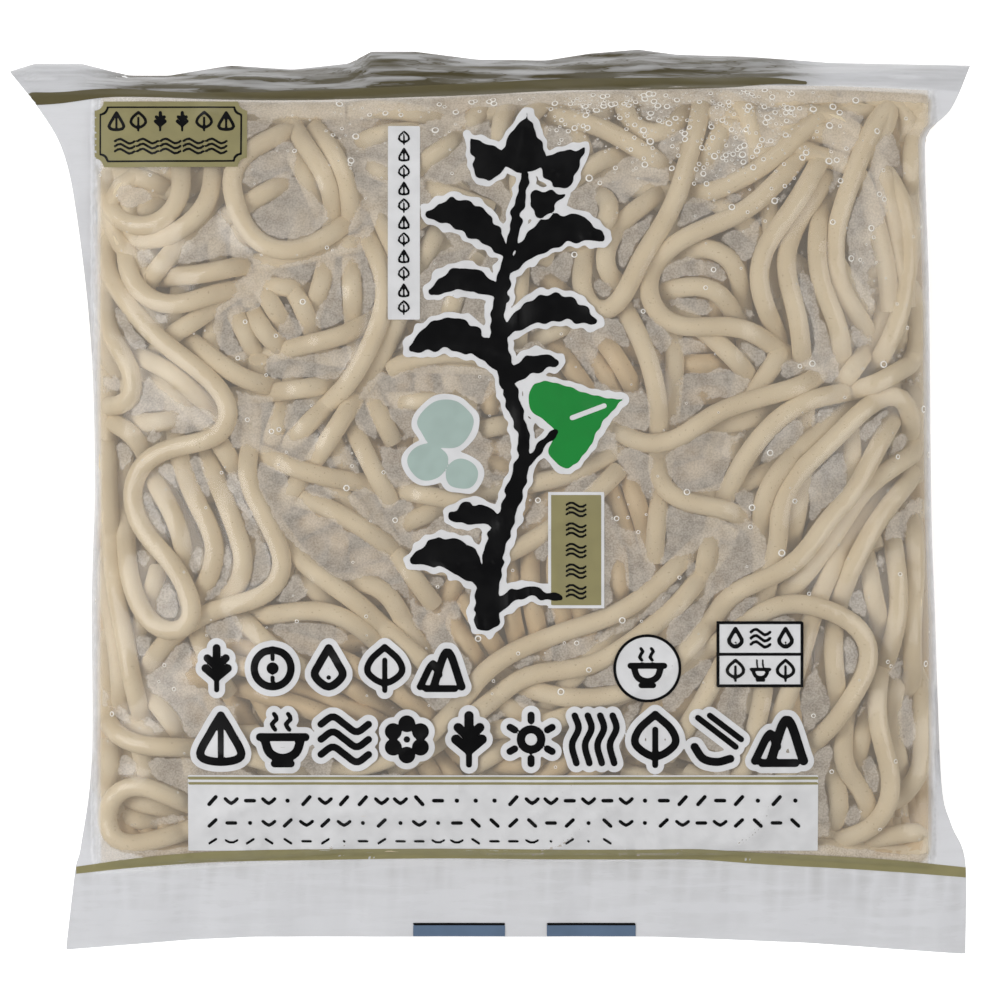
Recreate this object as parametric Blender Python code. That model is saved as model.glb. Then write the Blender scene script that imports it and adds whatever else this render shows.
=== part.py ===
"""A sealed pillow bag of boiled soba noodles, lying on its back with its printed face up.

The bag is one solid: a filled body, the thin seals at its two ends, and the noodles that press
against the front film and show through it. +Z is up and +Y points to the top seal.
"""

import bmesh
import bpy
import numpy as np

# Driving sizes, in metres
FILM_WIDTH = 0.1542  # the film tube pressed flat, from corner to corner of the top seal
PACK_HEIGHT = 0.024
SEAM_HEIGHT = 0.009  # where front and back film meet, above what the bag lies on
WEB_HALF = 0.0004  # half of the thickness where the bag is only two films
BACK_DEPTH = 0.011  # how far the back would bulge below the seam if nothing pressed it flat
REST_RISE = 0.0006  # how far the pressed back stands above the flat part that it rests on
REST_CORNERS = [(-0.050, -0.037), (0.050, -0.037), (0.0, 0.045)]  # about where that part ends
BOTTOM_SEAL_DROOP = 0.0045
TOP_SEAL_DROOP = 0.0070
RIPPLE_HEIGHT = 0.0005
RIPPLE_LENGTH = 0.021
NOODLE_WIDTH = 0.0031
NOODLE_RELIEF = 0.0024  # how far the visible noodles stand above the core between them
NOODLE_PITCH = 0.0028  # between neighbours that lie side by side
PRESSED = 0.85  # noodles that touch are pressed together to this share of their width

# The roundness of the body: larger is squarer
SIDE_POWER = 3.0
SIDE_ROUND = 1 / 2.2
END_POWER = 3.5
END_ROUND = 0.6

# Mesh density
COLUMNS = 26
BODY_ROWS = 18
SEAL_ROWS = 3
SPACE_STEP = 0.0005
STRAND_STEP = 0.0008
ROUNDING = 1e-9  # square metres
SAG_PASSES = 8  # how gently a noodle dips under another: more is gentler
END_DIP = 0.0022  # how far the ends of a noodle go down into the heap
END_DIP_LENGTH = 0.003
MOST_TURN = 0.34  # radians between two rings of a noodle
LONGEST_RING = 0.008

# The noodles that fill the bare places between the ones that stand out
FILLERS = 20
FILLER_LENGTH = 0.042
FILLER_SEED = 5
PLACES_TRIED = 200  # to find the barest one for the next filler to cross
CURL = 55.0  # radians for each metre: how sharply a filler bends
CURL_LENGTH = 0.014  # how far it keeps bending to one side
WALL_FULLNESS = 0.8  # where the bag is less full than this, a filler turns back
WALL_TURN = 220.0  # radians for each metre

# Places are read from the photograph in its own pixels, with y running down
PHOTO_LEFT = 8
PHOTO_RIGHT = 972
PHOTO_TOP = 48
PHOTO_BOTTOM = 955
PIXEL = FILM_WIDTH / (PHOTO_RIGHT - PHOTO_LEFT)
BODY_LEFT = 93
BODY_RIGHT = 936

LEFT_EDGE = [(8, 70), (38, 108), (62, 150), (76, 215), (90, 340), (94, 480),
             (91, 600), (91, 760), (80, 848), (75, 868), (65, 947)]
RIGHT_EDGE = [(972, 64), (952, 108), (929, 132), (926, 165), (930, 300), (932, 500),
              (936, 620), (942, 780), (952, 825), (966, 862), (967, 955)]
TOP_EDGE = [(8, 70), (33, 62), (80, 62), (126, 74), (166, 74), (229, 64), (292, 68),
            (348, 62), (371, 50), (415, 50), (478, 58), (546, 59), (589, 52), (639, 48),
            (676, 53), (745, 55), (828, 61), (972, 64)]
TOP_SEAM = [(8, 102), (83, 96), (200, 97), (332, 98), (480, 91), (679, 84), (850, 86), (972, 92)]
BOTTOM_SEAM = [(8, 872), (200, 863), (331, 855), (520, 857), (745, 857), (972, 872)]
BOTTOM_EDGE = [(8, 951), (140, 941), (210, 938), (640, 938), (800, 944), (967, 955), (972, 955)]

# The noodles that stand out: the number that lie side by side, and the bends of their middle.
# The first lie on top, against the film.
STRANDS = {
    "long_s": (1, [(100, 262), (117, 296), (142, 331), (176, 356), (207, 377), (230, 405),
                   (232, 430), (205, 444), (165, 450), (139, 470), (132, 505), (148, 545),
                   (178, 575), (195, 605), (186, 630), (160, 632), (133, 606), (113, 575)]),
    "corner_loop": (2, [(203, 150), (203, 180), (189, 210), (155, 228), (120, 223), (106, 198)]),
    "left_loop": (1, [(102, 296), (112, 330), (130, 364), (139, 392), (125, 410), (106, 402)]),
    "round_loop": (1, [(236, 158), (236, 200), (250, 237), (282, 255), (318, 250), (357, 245)]),
    "tall_loop": (1, [(703, 110), (697, 132), (684, 176), (668, 220), (642, 262), (629, 297),
                      (606, 317), (586, 300), (583, 270)]),
    "big_loop": (1, [(822, 132), (790, 165), (750, 195), (702, 220), (661, 246), (643, 277),
                     (648, 308), (675, 326), (715, 332), (772, 346)]),
    "upper_right_sweep": (1, [(835, 112), (790, 145), (745, 172), (702, 189), (664, 200)]),
    "right_fall": (2, [(854, 114), (838, 148), (812, 195), (783, 240), (772, 285), (783, 335),
                       (776, 372)]),
    "right_bow": (2, [(884, 118), (868, 150), (843, 200), (822, 245), (825, 290), (848, 335)]),
    "right_wall": (3, [(888, 170), (896, 220), (895, 275), (880, 325), (848, 368)]),
    "middle_sweep": (1, [(868, 372), (810, 374), (755, 386), (712, 400), (684, 425),
                         (650, 440), (618, 438)]),
    "lower_sweep": (1, [(908, 366), (858, 388), (805, 402), (768, 422), (742, 452), (722, 492)]),
    "hook": (2, [(915, 398), (880, 398), (845, 422), (808, 452), (783, 485), (776, 522),
                 (779, 556)]),
    "ring": (1, [(742, 616), (780, 603), (822, 606), (860, 627), (873, 657), (861, 697),
                 (836, 727), (800, 748)]),
    "lower_right_fall": (2, [(905, 420), (882, 468), (850, 508), (818, 552), (772, 588),
                             (733, 618)]),
    "small_s": (1, [(655, 452), (657, 480), (678, 501), (716, 511), (748, 528), (764, 558)]),
    "lower_loop": (1, [(246, 452), (250, 490), (268, 526), (286, 562), (280, 589), (250, 602),
                       (208, 614)]),
    "upper_left_pair": (2, [(300, 125), (326, 160), (340, 200), (342, 232)]),
    "left_arc": (1, [(368, 218), (389, 258), (392, 303), (380, 352), (361, 396), (330, 430)]),
    "below_corner": (1, [(125, 252), (128, 280), (152, 303), (186, 306), (220, 290)]),
    "cut_end": (1, [(243, 300), (216, 312), (186, 334)]),
    "u_turn": (1, [(626, 116), (634, 134), (652, 143), (676, 136), (688, 116)]),
    "top_middle": (1, [(556, 118), (600, 130), (636, 151), (668, 166)]),
    "inner_arc": (1, [(672, 205), (640, 211), (614, 235), (604, 263), (616, 288), (642, 294)]),
    "bottom_sweep": (2, [(505, 664), (545, 636), (600, 610), (640, 580), (682, 548)]),
    "left_wall": (2, [(116, 520), (116, 572), (126, 625), (138, 672), (146, 716)]),
    "bottom_left_arc": (1, [(104, 690), (122, 732), (154, 750), (205, 748)]),
    "bottom_left_loop": (1, [(190, 800), (160, 781), (127, 781), (110, 800), (112, 828)]),
    "right_bottom": (1, [(868, 692), (888, 738), (897, 788), (882, 828)]),
    "low_fall": (2, [(900, 560), (896, 620), (908, 690), (912, 750)]),
    "slanting_pair": (2, [(300, 558), (335, 590), (372, 612), (402, 646)]),
    "short_falls": (2, [(250, 306), (262, 334), (284, 352), (318, 348)]),
    "shallow_arc": (1, [(228, 388), (272, 397), (318, 388), (350, 372)]),
    "top_centre": (2, [(505, 114), (496, 150), (500, 200), (492, 250)]),
    "small_loop": (1, [(560, 243), (592, 239), (610, 216), (600, 190), (572, 190)]),
    "eye_arcs": (2, [(676, 252), (712, 258), (738, 282), (744, 318)]),
    "lower_left_falls": (2, [(160, 478), (186, 520), (205, 562), (212, 600)]),
    "crossing_left": (2, [(140, 372), (176, 392), (206, 418)]),
}


def metres(points):
    """Photograph pixels as positions in metres, from the middle of the bag."""
    points = np.asarray(points, float)
    x = points[..., 0] - (PHOTO_LEFT + PHOTO_RIGHT) / 2
    y = (PHOTO_TOP + PHOTO_BOTTOM) / 2 - points[..., 1]
    return np.stack([x, y], axis=-1) * PIXEL


def smooth_line(points, step=STRAND_STEP):
    """A line that bends smoothly through all the points, in even steps."""
    points = np.vstack([2 * points[0] - points[1], points, 2 * points[-1] - points[-2]])
    t = np.linspace(0, 1, 40, endpoint=False)[:, None]
    pieces = []
    for before, start, end, after in zip(points, points[1:], points[2:], points[3:]):
        out = (end - before) / 2
        into = (after - start) / 2
        pieces.append(
            start * (2 * t**3 - 3 * t**2 + 1)
            + end * (3 * t**2 - 2 * t**3)
            + out * (t**3 - 2 * t**2 + t)
            + into * (t**3 - t**2)
        )
    line = np.vstack([*pieces, points[-2:-1]])
    along = np.concatenate([[0], np.cumsum(np.linalg.norm(np.diff(line, axis=0), axis=1))])
    count = max(2, round(along[-1] / step))
    even = np.linspace(0, along[-1], count)
    return np.stack([np.interp(even, along, line[:, k]) for k in range(line.shape[1])], axis=1)


def across(points):
    """The line's x for a given y, from points that run down the photograph."""
    line = smooth_line(metres(points))[::-1]
    return lambda y: np.interp(y, line[:, 1], line[:, 0])


def along_width(points):
    """The line's y for a given x, from points that run from left to right."""
    line = metres(points)
    return lambda x: np.interp(x, line[:, 0], line[:, 1])


left_edge = across(LEFT_EDGE)
right_edge = across(RIGHT_EDGE)
top_edge = along_width(TOP_EDGE)
top_seam = along_width(TOP_SEAM)
bottom_seam = along_width(BOTTOM_SEAM)
bottom_edge = along_width(BOTTOM_EDGE)


def fullness(x, y):
    """How full the bag is at a place: 1 over most of the body, 0 at its edge and in the seals."""
    left = np.maximum(left_edge(y), metres((BODY_LEFT, 0))[0])
    right = np.minimum(right_edge(y), metres((BODY_RIGHT, 0))[0])
    low = bottom_seam(x)
    high = top_seam(x)
    s = np.clip(np.abs(2 * (x - left) / (right - left) - 1), 0, 1)
    t = np.clip(np.abs(2 * (y - low) / (high - low) - 1), 0, 1)
    return (1 - s**SIDE_POWER) ** SIDE_ROUND * (1 - t**END_POWER) ** END_ROUND


def seam_height(x, y):
    """The height of the middle of the film: level in the body, drooping and rippled in the seals."""
    low = (bottom_seam(x) - y) / (bottom_seam(x) - bottom_edge(x))
    high = (y - top_seam(x)) / (top_edge(x) - top_seam(x))
    low = np.clip(low, 0, 1)
    high = np.clip(high, 0, 1)
    droop = BOTTOM_SEAL_DROOP * low**1.3 + TOP_SEAL_DROOP * high**1.2
    ripple = RIPPLE_HEIGHT * np.maximum(low, high) * np.sin(2 * np.pi * x / RIPPLE_LENGTH)
    return SEAM_HEIGHT - droop + ripple


def front_height(x, y):
    """The front film, taut over the noodles."""
    rise = PACK_HEIGHT - SEAM_HEIGHT - WEB_HALF
    return seam_height(x, y) + WEB_HALF + rise * fullness(x, y)


def core_height(x, y):
    """The front of the core, a noodle's relief below the film."""
    rise = (PACK_HEIGHT - SEAM_HEIGHT - WEB_HALF) * fullness(x, y)
    return seam_height(x, y) + WEB_HALF + np.maximum(rise - NOODLE_RELIEF, 0)


def back_height(x, y):
    """The back film, pressed nearly flat by the weight of the bag."""
    return np.maximum(seam_height(x, y) - WEB_HALF - BACK_DEPTH * fullness(x, y), REST_RISE)


def rounded_steps(count):
    """Numbers from 0 to 1, closer together at both ends."""
    even = np.linspace(0, 1, count + 1)
    return 0.45 * even + 0.55 * (1 - np.cos(np.pi * even)) / 2


def bag_places():
    """The x and y of the mesh's rows and columns over the whole bag, seals included."""
    u = rounded_steps(COLUMNS)
    x = -FILM_WIDTH / 2 + FILM_WIDTH * u
    seal = np.linspace(0, 1, SEAL_ROWS + 1)[:-1, None]
    body = rounded_steps(BODY_ROWS)[:, None]
    y = np.vstack([
        bottom_edge(x) + (bottom_seam(x) - bottom_edge(x)) * seal,
        bottom_seam(x) + (top_seam(x) - bottom_seam(x)) * body,
        top_edge(x) + (top_seam(x) - top_edge(x)) * seal[::-1],
    ])
    return left_edge(y) + (right_edge(y) - left_edge(y)) * u, y


def rests(x, y):
    """Which places of the mesh are in the flat triangle that the bag rests on."""
    corners = []
    for corner_x, corner_y in REST_CORNERS:
        nearest = np.hypot(x - corner_x, y - corner_y).argmin()
        corners.append((x.flat[nearest], y.flat[nearest]))
    inside = np.full(x.shape, True)
    for start, end in zip(corners, corners[1:] + corners[:1]):
        turn = (end[0] - start[0]) * (y - start[1]) - (end[1] - start[1]) * (x - start[0])
        inside &= turn > -ROUNDING
    return inside


def bag_core():
    """A grid for the front film and one for the back, joined round their rims."""
    x, y = bag_places()
    rows, columns = x.shape
    back = np.where(rests(x, y), 0, back_height(x, y))
    mesh = bmesh.new()
    for z in (core_height(x, y), back):
        made = bmesh.ops.create_grid(mesh, x_segments=columns - 1, y_segments=rows - 1, size=1)
        for vertex in made["verts"]:
            column = round((vertex.co.x + 1) / 2 * (columns - 1))
            row = round((vertex.co.y + 1) / 2 * (rows - 1))
            vertex.co = (x[row, column], y[row, column], z[row, column])
    rim = [edge for edge in mesh.edges if edge.is_boundary]
    bmesh.ops.bridge_loops(mesh, edges=rim)
    bmesh.ops.triangulate(mesh, faces=mesh.faces)
    bmesh.ops.recalc_face_normals(mesh, faces=mesh.faces)
    data = bpy.data.meshes.new("noodle_bag")
    mesh.to_mesh(data)
    mesh.free()
    return bpy.data.objects.new("noodle_bag", data)


class Space:
    """The space left under the film. Each noodle laid against it takes its own share."""

    def __init__(self):
        self.x = np.arange(-FILM_WIDTH / 2, FILM_WIDTH / 2, SPACE_STEP)
        self.y = np.arange(bottom_edge(0.0), top_edge(0.0), SPACE_STEP)
        places = np.meshgrid(self.x, self.y)
        radius = NOODLE_WIDTH / 2 * PRESSED
        self.ceiling = front_height(*places) - (NOODLE_WIDTH / 2 - radius)
        self.floor = back_height(*places) + (NOODLE_WIDTH / 2 - radius)
        reach = int(radius / SPACE_STEP)
        near = np.arange(-reach, reach + 1)
        dx, dy = (d.ravel() for d in np.meshgrid(near, near))
        inside = (dx**2 + dy**2) * SPACE_STEP**2 < radius**2
        self.dx, self.dy = dx[inside], dy[inside]
        self.dome = np.sqrt(radius**2 - (self.dx**2 + self.dy**2) * SPACE_STEP**2)

    def lay(self, line):
        """The heights of a noodle's middle along a line, as high as the space lets it lie."""
        column, row = np.round((line - (self.x[0], self.y[0])) / SPACE_STEP).astype(int).T
        rows = np.clip(row[:, None] + self.dy, 0, len(self.y) - 1)
        columns = np.clip(column[:, None] + self.dx, 0, len(self.x) - 1)
        most = (self.ceiling[rows, columns] - self.dome).min(axis=1)
        least = (self.floor[rows, columns] + self.dome).max(axis=1)
        along = np.arange(len(line)) * STRAND_STEP
        to_end = np.minimum(along, along[::-1])
        most -= END_DIP * np.exp(-to_end / END_DIP_LENGTH)
        height = most.copy()
        for _ in range(SAG_PASSES):
            padded = np.pad(height, 2, mode="edge")
            height = np.minimum(most, np.convolve(padded, np.ones(5) / 5, mode="valid"))
        height = np.maximum(height, least)
        np.minimum.at(self.ceiling, (rows, columns), height[:, None] - self.dome)
        return height


def side_by_side(line, count):
    """The line repeated as neighbours, each a pitch from the next."""
    ahead = np.gradient(line, axis=0)
    ahead /= np.linalg.norm(ahead, axis=1)[:, None]
    sideways = np.stack([-ahead[:, 1], ahead[:, 0]], axis=1)
    for k in range(count):
        yield line + sideways * NOODLE_PITCH * (k - (count - 1) / 2)


def few_rings(line):
    """The points of a line where it has turned enough, or run on long enough, to need a ring."""
    kept = [0]
    turned = 0.0
    for k in range(1, len(line) - 1):
        before = line[k] - line[k - 1]
        after = line[k + 1] - line[k]
        cosine = before @ after / (np.linalg.norm(before) * np.linalg.norm(after))
        turned += np.arccos(np.clip(cosine, -1, 1))
        if turned > MOST_TURN or np.linalg.norm(line[k] - line[kept[-1]]) > LONGEST_RING:
            kept.append(k)
            turned = 0.0
    return line[[*kept, len(line) - 1]]


def noodle(name, line):
    """One noodle: a round tube along the line, as a closed mesh."""
    curve = bpy.data.curves.new(name, "CURVE")
    curve.dimensions = "3D"
    curve.bevel_depth = NOODLE_WIDTH / 2
    curve.bevel_resolution = 1
    curve.use_fill_caps = True
    spline = curve.splines.new("POLY")
    spline.points.add(len(line) - 1)
    for point, place in zip(spline.points, line):
        point.co = (*place, 1)
    tube = bpy.data.objects.new(name + "_curve", curve)
    bpy.context.scene.collection.objects.link(tube)
    graph = bpy.context.evaluated_depsgraph_get()
    data = bpy.data.meshes.new_from_object(tube.evaluated_get(graph))
    bpy.data.objects.remove(tube)
    mesh = bmesh.new()
    mesh.from_mesh(data)
    bmesh.ops.remove_doubles(mesh, verts=mesh.verts, dist=1e-6)
    bmesh.ops.recalc_face_normals(mesh, faces=mesh.faces)
    mesh.to_mesh(data)
    mesh.free()
    return bpy.data.objects.new(name, data)


def barest_place(random, lines):
    """Of many places in the body, the one that is farthest from every noodle so far."""
    taken = np.vstack(lines)[::4]
    corner = metres([(BODY_LEFT, PHOTO_BOTTOM), (BODY_RIGHT, PHOTO_TOP)])
    places = random.uniform(corner[0], corner[1], (PLACES_TRIED, 2))
    places = places[fullness(*places.T) > WALL_FULLNESS]
    gaps = np.linalg.norm(places[:, None] - taken, axis=2).min(axis=1)
    return places[gaps.argmax()]


def wander(random, start, heading, steps):
    """A way through the heap: it bends to one side, then the other, and turns back at the wall."""
    place = start
    curl = random.normal(0, CURL)
    line = [place]
    for _ in range(steps):
        curl += random.normal(0, CURL) * np.sqrt(STRAND_STEP / CURL_LENGTH)
        curl -= curl * STRAND_STEP / CURL_LENGTH
        heading += curl * STRAND_STEP
        if fullness(*place) < WALL_FULLNESS:
            inward = np.arctan2(-place[1], -place[0])
            turn = (inward - heading + np.pi) % (2 * np.pi) - np.pi
            heading += WALL_TURN * STRAND_STEP * np.clip(turn, -1, 1)
        place = place + STRAND_STEP * np.array([np.cos(heading), np.sin(heading)])
        line.append(place)
    return np.array(line)


def fillers(lines):
    """Noodles that wander through the barest places, half their length to each side of them."""
    random = np.random.default_rng(FILLER_SEED)
    half = round(FILLER_LENGTH / STRAND_STEP / 2)
    lines = list(lines)
    for _ in range(FILLERS):
        middle = barest_place(random, lines)
        heading = random.uniform(-np.pi, np.pi)
        ahead = wander(random, middle, heading, half)
        behind = wander(random, middle, heading + np.pi, half)
        lines.append(np.vstack([behind[:0:-1], ahead]))
        yield lines[-1]


def visible_noodles():
    """Every noodle that presses against the front film, from the top one down."""
    space = Space()
    lines = {}
    for name, (count, bends) in STRANDS.items():
        for k, line in enumerate(side_by_side(smooth_line(metres(bends)), count)):
            lines[f"{name}_{k}"] = line
    for k, line in enumerate(fillers(lines.values())):
        lines[f"filler_{k}"] = line
    for name, line in lines.items():
        height = space.lay(line)
        yield noodle(name, few_rings(np.column_stack([line, height])))


def fuse(core, others):
    """Joins the objects of a collection to the core, and keeps the outer skin alone."""
    union = core.modifiers.new("fused_noodles", "BOOLEAN")
    union.operation = "UNION"
    union.solver = "MANIFOLD"
    union.operand_type = "COLLECTION"
    union.collection = others
    graph = bpy.context.evaluated_depsgraph_get()
    fused = bpy.data.meshes.new_from_object(core.evaluated_get(graph))
    core.modifiers.clear()
    mesh = bmesh.new()
    mesh.from_mesh(fused)
    outer = largest_island(mesh)
    inner = [vertex for vertex in mesh.verts if vertex not in outer]
    bmesh.ops.delete(mesh, geom=inner, context="VERTS")
    bmesh.ops.triangulate(mesh, faces=mesh.faces)
    mesh.to_mesh(core.data)
    mesh.free()
    for obj in list(others.objects):
        bpy.data.objects.remove(obj)
    bpy.data.collections.remove(others)


def largest_island(mesh):
    """The vertices of the connected surface that has the most of them."""
    left = set(mesh.verts)
    best = set()
    while left:
        island = {left.pop()}
        edge_of_island = list(island)
        while edge_of_island:
            vertex = edge_of_island.pop()
            for edge in vertex.link_edges:
                other = edge.other_vert(vertex)
                if other not in island:
                    island.add(other)
                    edge_of_island.append(other)
        left -= island
        if len(island) > len(best):
            best = island
    return best


def centre_on_origin(obj):
    """Moves the mesh so that the middle of its footprint is at the origin, standing at zero."""
    places = np.array([vertex.co for vertex in obj.data.vertices])
    low, high = places.min(axis=0), places.max(axis=0)
    shift = np.array([*(low[:2] + high[:2]) / 2, low[2]])
    for vertex, place in zip(obj.data.vertices, places - shift):
        vertex.co = place


def wrapped_noodles_material():
    """Pale buckwheat noodles as they look through clear film."""
    material = bpy.data.materials.new("wrapped_noodles")
    material.use_nodes = True
    shader = material.node_tree.nodes["Principled BSDF"]
    shader.inputs["Base Color"].default_value = (0.55, 0.46, 0.33, 1)
    shader.inputs["Roughness"].default_value = 0.35
    shader.inputs["Metallic"].default_value = 0.0
    return material


def main():
    for obj in list(bpy.data.objects):
        bpy.data.objects.remove(obj)
    pack = bpy.data.collections.new("soba_pack")
    noodles = bpy.data.collections.new("visible_noodles")
    bpy.context.scene.collection.children.link(pack)
    bpy.context.scene.collection.children.link(noodles)
    bag = bag_core()
    pack.objects.link(bag)
    for obj in visible_noodles():
        noodles.objects.link(obj)
    fuse(bag, noodles)
    centre_on_origin(bag)
    bag.data.materials.append(wrapped_noodles_material())
    bag.data.shade_smooth()
    bag.data.set_sharp_from_angle(angle=0.6)


main()
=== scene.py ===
"""A clear sealed bag of boiled soba noodles, lying on its back with its printed face up."""

import bmesh
import bpy
import numpy as np
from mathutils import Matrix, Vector
from mathutils.bvhtree import BVHTree


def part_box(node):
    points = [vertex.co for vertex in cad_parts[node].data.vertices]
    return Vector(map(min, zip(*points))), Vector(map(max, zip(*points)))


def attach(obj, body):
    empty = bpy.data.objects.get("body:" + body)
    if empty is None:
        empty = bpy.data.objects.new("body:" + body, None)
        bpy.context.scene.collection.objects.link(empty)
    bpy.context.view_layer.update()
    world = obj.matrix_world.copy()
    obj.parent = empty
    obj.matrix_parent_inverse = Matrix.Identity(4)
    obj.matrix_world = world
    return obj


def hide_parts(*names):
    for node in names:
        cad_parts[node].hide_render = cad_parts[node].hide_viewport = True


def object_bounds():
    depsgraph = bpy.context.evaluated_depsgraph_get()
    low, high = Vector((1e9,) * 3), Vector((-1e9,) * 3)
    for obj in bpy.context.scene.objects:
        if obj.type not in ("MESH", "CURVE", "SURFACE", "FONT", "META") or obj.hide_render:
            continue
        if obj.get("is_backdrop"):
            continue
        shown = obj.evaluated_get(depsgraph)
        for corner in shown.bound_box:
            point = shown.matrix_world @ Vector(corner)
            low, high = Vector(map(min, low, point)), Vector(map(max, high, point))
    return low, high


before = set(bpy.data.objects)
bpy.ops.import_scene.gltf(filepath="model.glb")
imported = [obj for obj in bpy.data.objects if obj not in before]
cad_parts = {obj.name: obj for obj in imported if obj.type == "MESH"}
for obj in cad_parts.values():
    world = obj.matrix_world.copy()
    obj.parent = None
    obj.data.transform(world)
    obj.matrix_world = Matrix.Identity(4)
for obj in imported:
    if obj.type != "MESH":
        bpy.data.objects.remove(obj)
solid_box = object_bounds()


# The form of the bag
# The bag is a tube of film, welded flat at both ends and full of noodles in between. These functions
# give the height of its front and its back at any place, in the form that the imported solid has.

bag_low, bag_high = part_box("noodle_bag")
PHOTO_LEFT = 8
PHOTO_RIGHT = 972
PHOTO_TOP = 48
PHOTO_BOTTOM = 955
BODY_LEFT = 93
BODY_RIGHT = 936
PIXEL = (bag_high.x - bag_low.x) / (PHOTO_RIGHT - PHOTO_LEFT)

PACK_HEIGHT = 0.024
SEAM_HEIGHT = 0.009
WEB_HALF = 0.0004
BACK_DEPTH = 0.011
BOTTOM_SEAL_DROOP = 0.0045
TOP_SEAL_DROOP = 0.0070
RIPPLE_HEIGHT = 0.0005
RIPPLE_LENGTH = 0.021
BOTTOM_DROOP_POWER = 1.3
TOP_DROOP_POWER = 1.2
SIDE_POWER = 3.0
SIDE_ROUND = 1 / 2.2
END_POWER = 3.5
END_ROUND = 0.6
EDGE_STEP = 0.0008
BEND_POINTS = 40

LEFT_EDGE = [(8, 70), (38, 108), (62, 150), (76, 215), (90, 340), (94, 480),
             (91, 600), (91, 760), (80, 848), (75, 868), (65, 947)]
RIGHT_EDGE = [(972, 64), (952, 108), (929, 132), (926, 165), (930, 300), (932, 500),
              (936, 620), (942, 780), (952, 825), (966, 862), (967, 955)]
TOP_EDGE = [(8, 70), (33, 62), (80, 62), (126, 74), (166, 74), (229, 64), (292, 68),
            (348, 62), (371, 50), (415, 50), (478, 58), (546, 59), (589, 52), (639, 48),
            (676, 53), (745, 55), (828, 61), (972, 64)]
TOP_SEAM = [(8, 102), (83, 96), (200, 97), (332, 98), (480, 91), (679, 84), (850, 86), (972, 92)]
BOTTOM_SEAM = [(8, 872), (200, 863), (331, 855), (520, 857), (745, 857), (972, 872)]
BOTTOM_EDGE = [(8, 951), (140, 941), (210, 938), (640, 938), (800, 944), (967, 955), (972, 955)]


def metres(points):
    """Photograph pixels as positions in metres, from the middle of the bag."""
    points = np.asarray(points, float)
    x = points[..., 0] - (PHOTO_LEFT + PHOTO_RIGHT) / 2
    y = (PHOTO_TOP + PHOTO_BOTTOM) / 2 - points[..., 1]
    return np.stack([x, y], axis=-1) * PIXEL


def pixels(x, y):
    """A place in metres as the photograph's x and y, which runs down."""
    return x / PIXEL + (PHOTO_LEFT + PHOTO_RIGHT) / 2, (PHOTO_TOP + PHOTO_BOTTOM) / 2 - y / PIXEL


def smooth_line(points, step):
    """A line that bends smoothly through all the points, in even steps."""
    points = np.vstack([2 * points[0] - points[1], points, 2 * points[-1] - points[-2]])
    t = np.linspace(0, 1, BEND_POINTS, endpoint=False)[:, None]
    pieces = []
    for before, start, end, after in zip(points, points[1:], points[2:], points[3:]):
        out = (end - before) / 2
        into = (after - start) / 2
        pieces.append(
            start * (2 * t**3 - 3 * t**2 + 1)
            + end * (3 * t**2 - 2 * t**3)
            + out * (t**3 - 2 * t**2 + t)
            + into * (t**3 - t**2)
        )
    line = np.vstack([*pieces, points[-2:-1]])
    along = np.concatenate([[0], np.cumsum(np.linalg.norm(np.diff(line, axis=0), axis=1))])
    even = np.linspace(0, along[-1], max(2, round(along[-1] / step)))
    return np.stack([np.interp(even, along, line[:, k]) for k in range(line.shape[1])], axis=1)


def across(points):
    """The line's x for a given y, from points that run down the photograph."""
    line = smooth_line(metres(points), EDGE_STEP)[::-1]
    return lambda y: np.interp(y, line[:, 1], line[:, 0])


def along_width(points):
    """The line's y for a given x, from points that run from left to right."""
    line = metres(points)
    return lambda x: np.interp(x, line[:, 0], line[:, 1])


left_edge = across(LEFT_EDGE)
right_edge = across(RIGHT_EDGE)
top_edge = along_width(TOP_EDGE)
top_seam = along_width(TOP_SEAM)
bottom_seam = along_width(BOTTOM_SEAM)
bottom_edge = along_width(BOTTOM_EDGE)


def walls(x, y):
    """Where the filled body ends: its least and most x at a height, and its least and most y."""
    left = np.maximum(left_edge(y), metres((BODY_LEFT, 0))[0])
    right = np.minimum(right_edge(y), metres((BODY_RIGHT, 0))[0])
    return left, right, bottom_seam(x), top_seam(x)


def fullness(x, y):
    """How full the bag is at a place: 1 over most of the body, 0 at its edge and in the seals."""
    left, right, low, high = walls(x, y)
    s = np.clip(np.abs(2 * (x - left) / (right - left) - 1), 0, 1)
    t = np.clip(np.abs(2 * (y - low) / (high - low) - 1), 0, 1)
    return (1 - s**SIDE_POWER) ** SIDE_ROUND * (1 - t**END_POWER) ** END_ROUND


def seal_shares(x, y):
    """How far a place is into the bottom seal and into the top one, from 0 at the seam to 1."""
    low = (bottom_seam(x) - y) / (bottom_seam(x) - bottom_edge(x))
    high = (y - top_seam(x)) / (top_edge(x) - top_seam(x))
    return np.clip(low, 0, 1), np.clip(high, 0, 1)


def seam_height(x, y):
    """Where front and back meet. The seals droop towards their free edges, and ripple a little."""
    low, high = seal_shares(x, y)
    droop = BOTTOM_SEAL_DROOP * low**BOTTOM_DROOP_POWER + TOP_SEAL_DROOP * high**TOP_DROOP_POWER
    ripple = RIPPLE_HEIGHT * np.maximum(low, high) * np.sin(2 * np.pi * x / RIPPLE_LENGTH)
    return SEAM_HEIGHT - droop + ripple


def front_height(x, y):
    """The height of the bag's front, without the noodles that stand out of it."""
    rise = PACK_HEIGHT - SEAM_HEIGHT - WEB_HALF
    return seam_height(x, y) + WEB_HALF + rise * fullness(x, y)


def back_height(x, y):
    """The height of the bag's back, which its weight presses flat on the table."""
    return np.maximum(seam_height(x, y) - WEB_HALF - BACK_DEPTH * fullness(x, y), 0)


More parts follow.
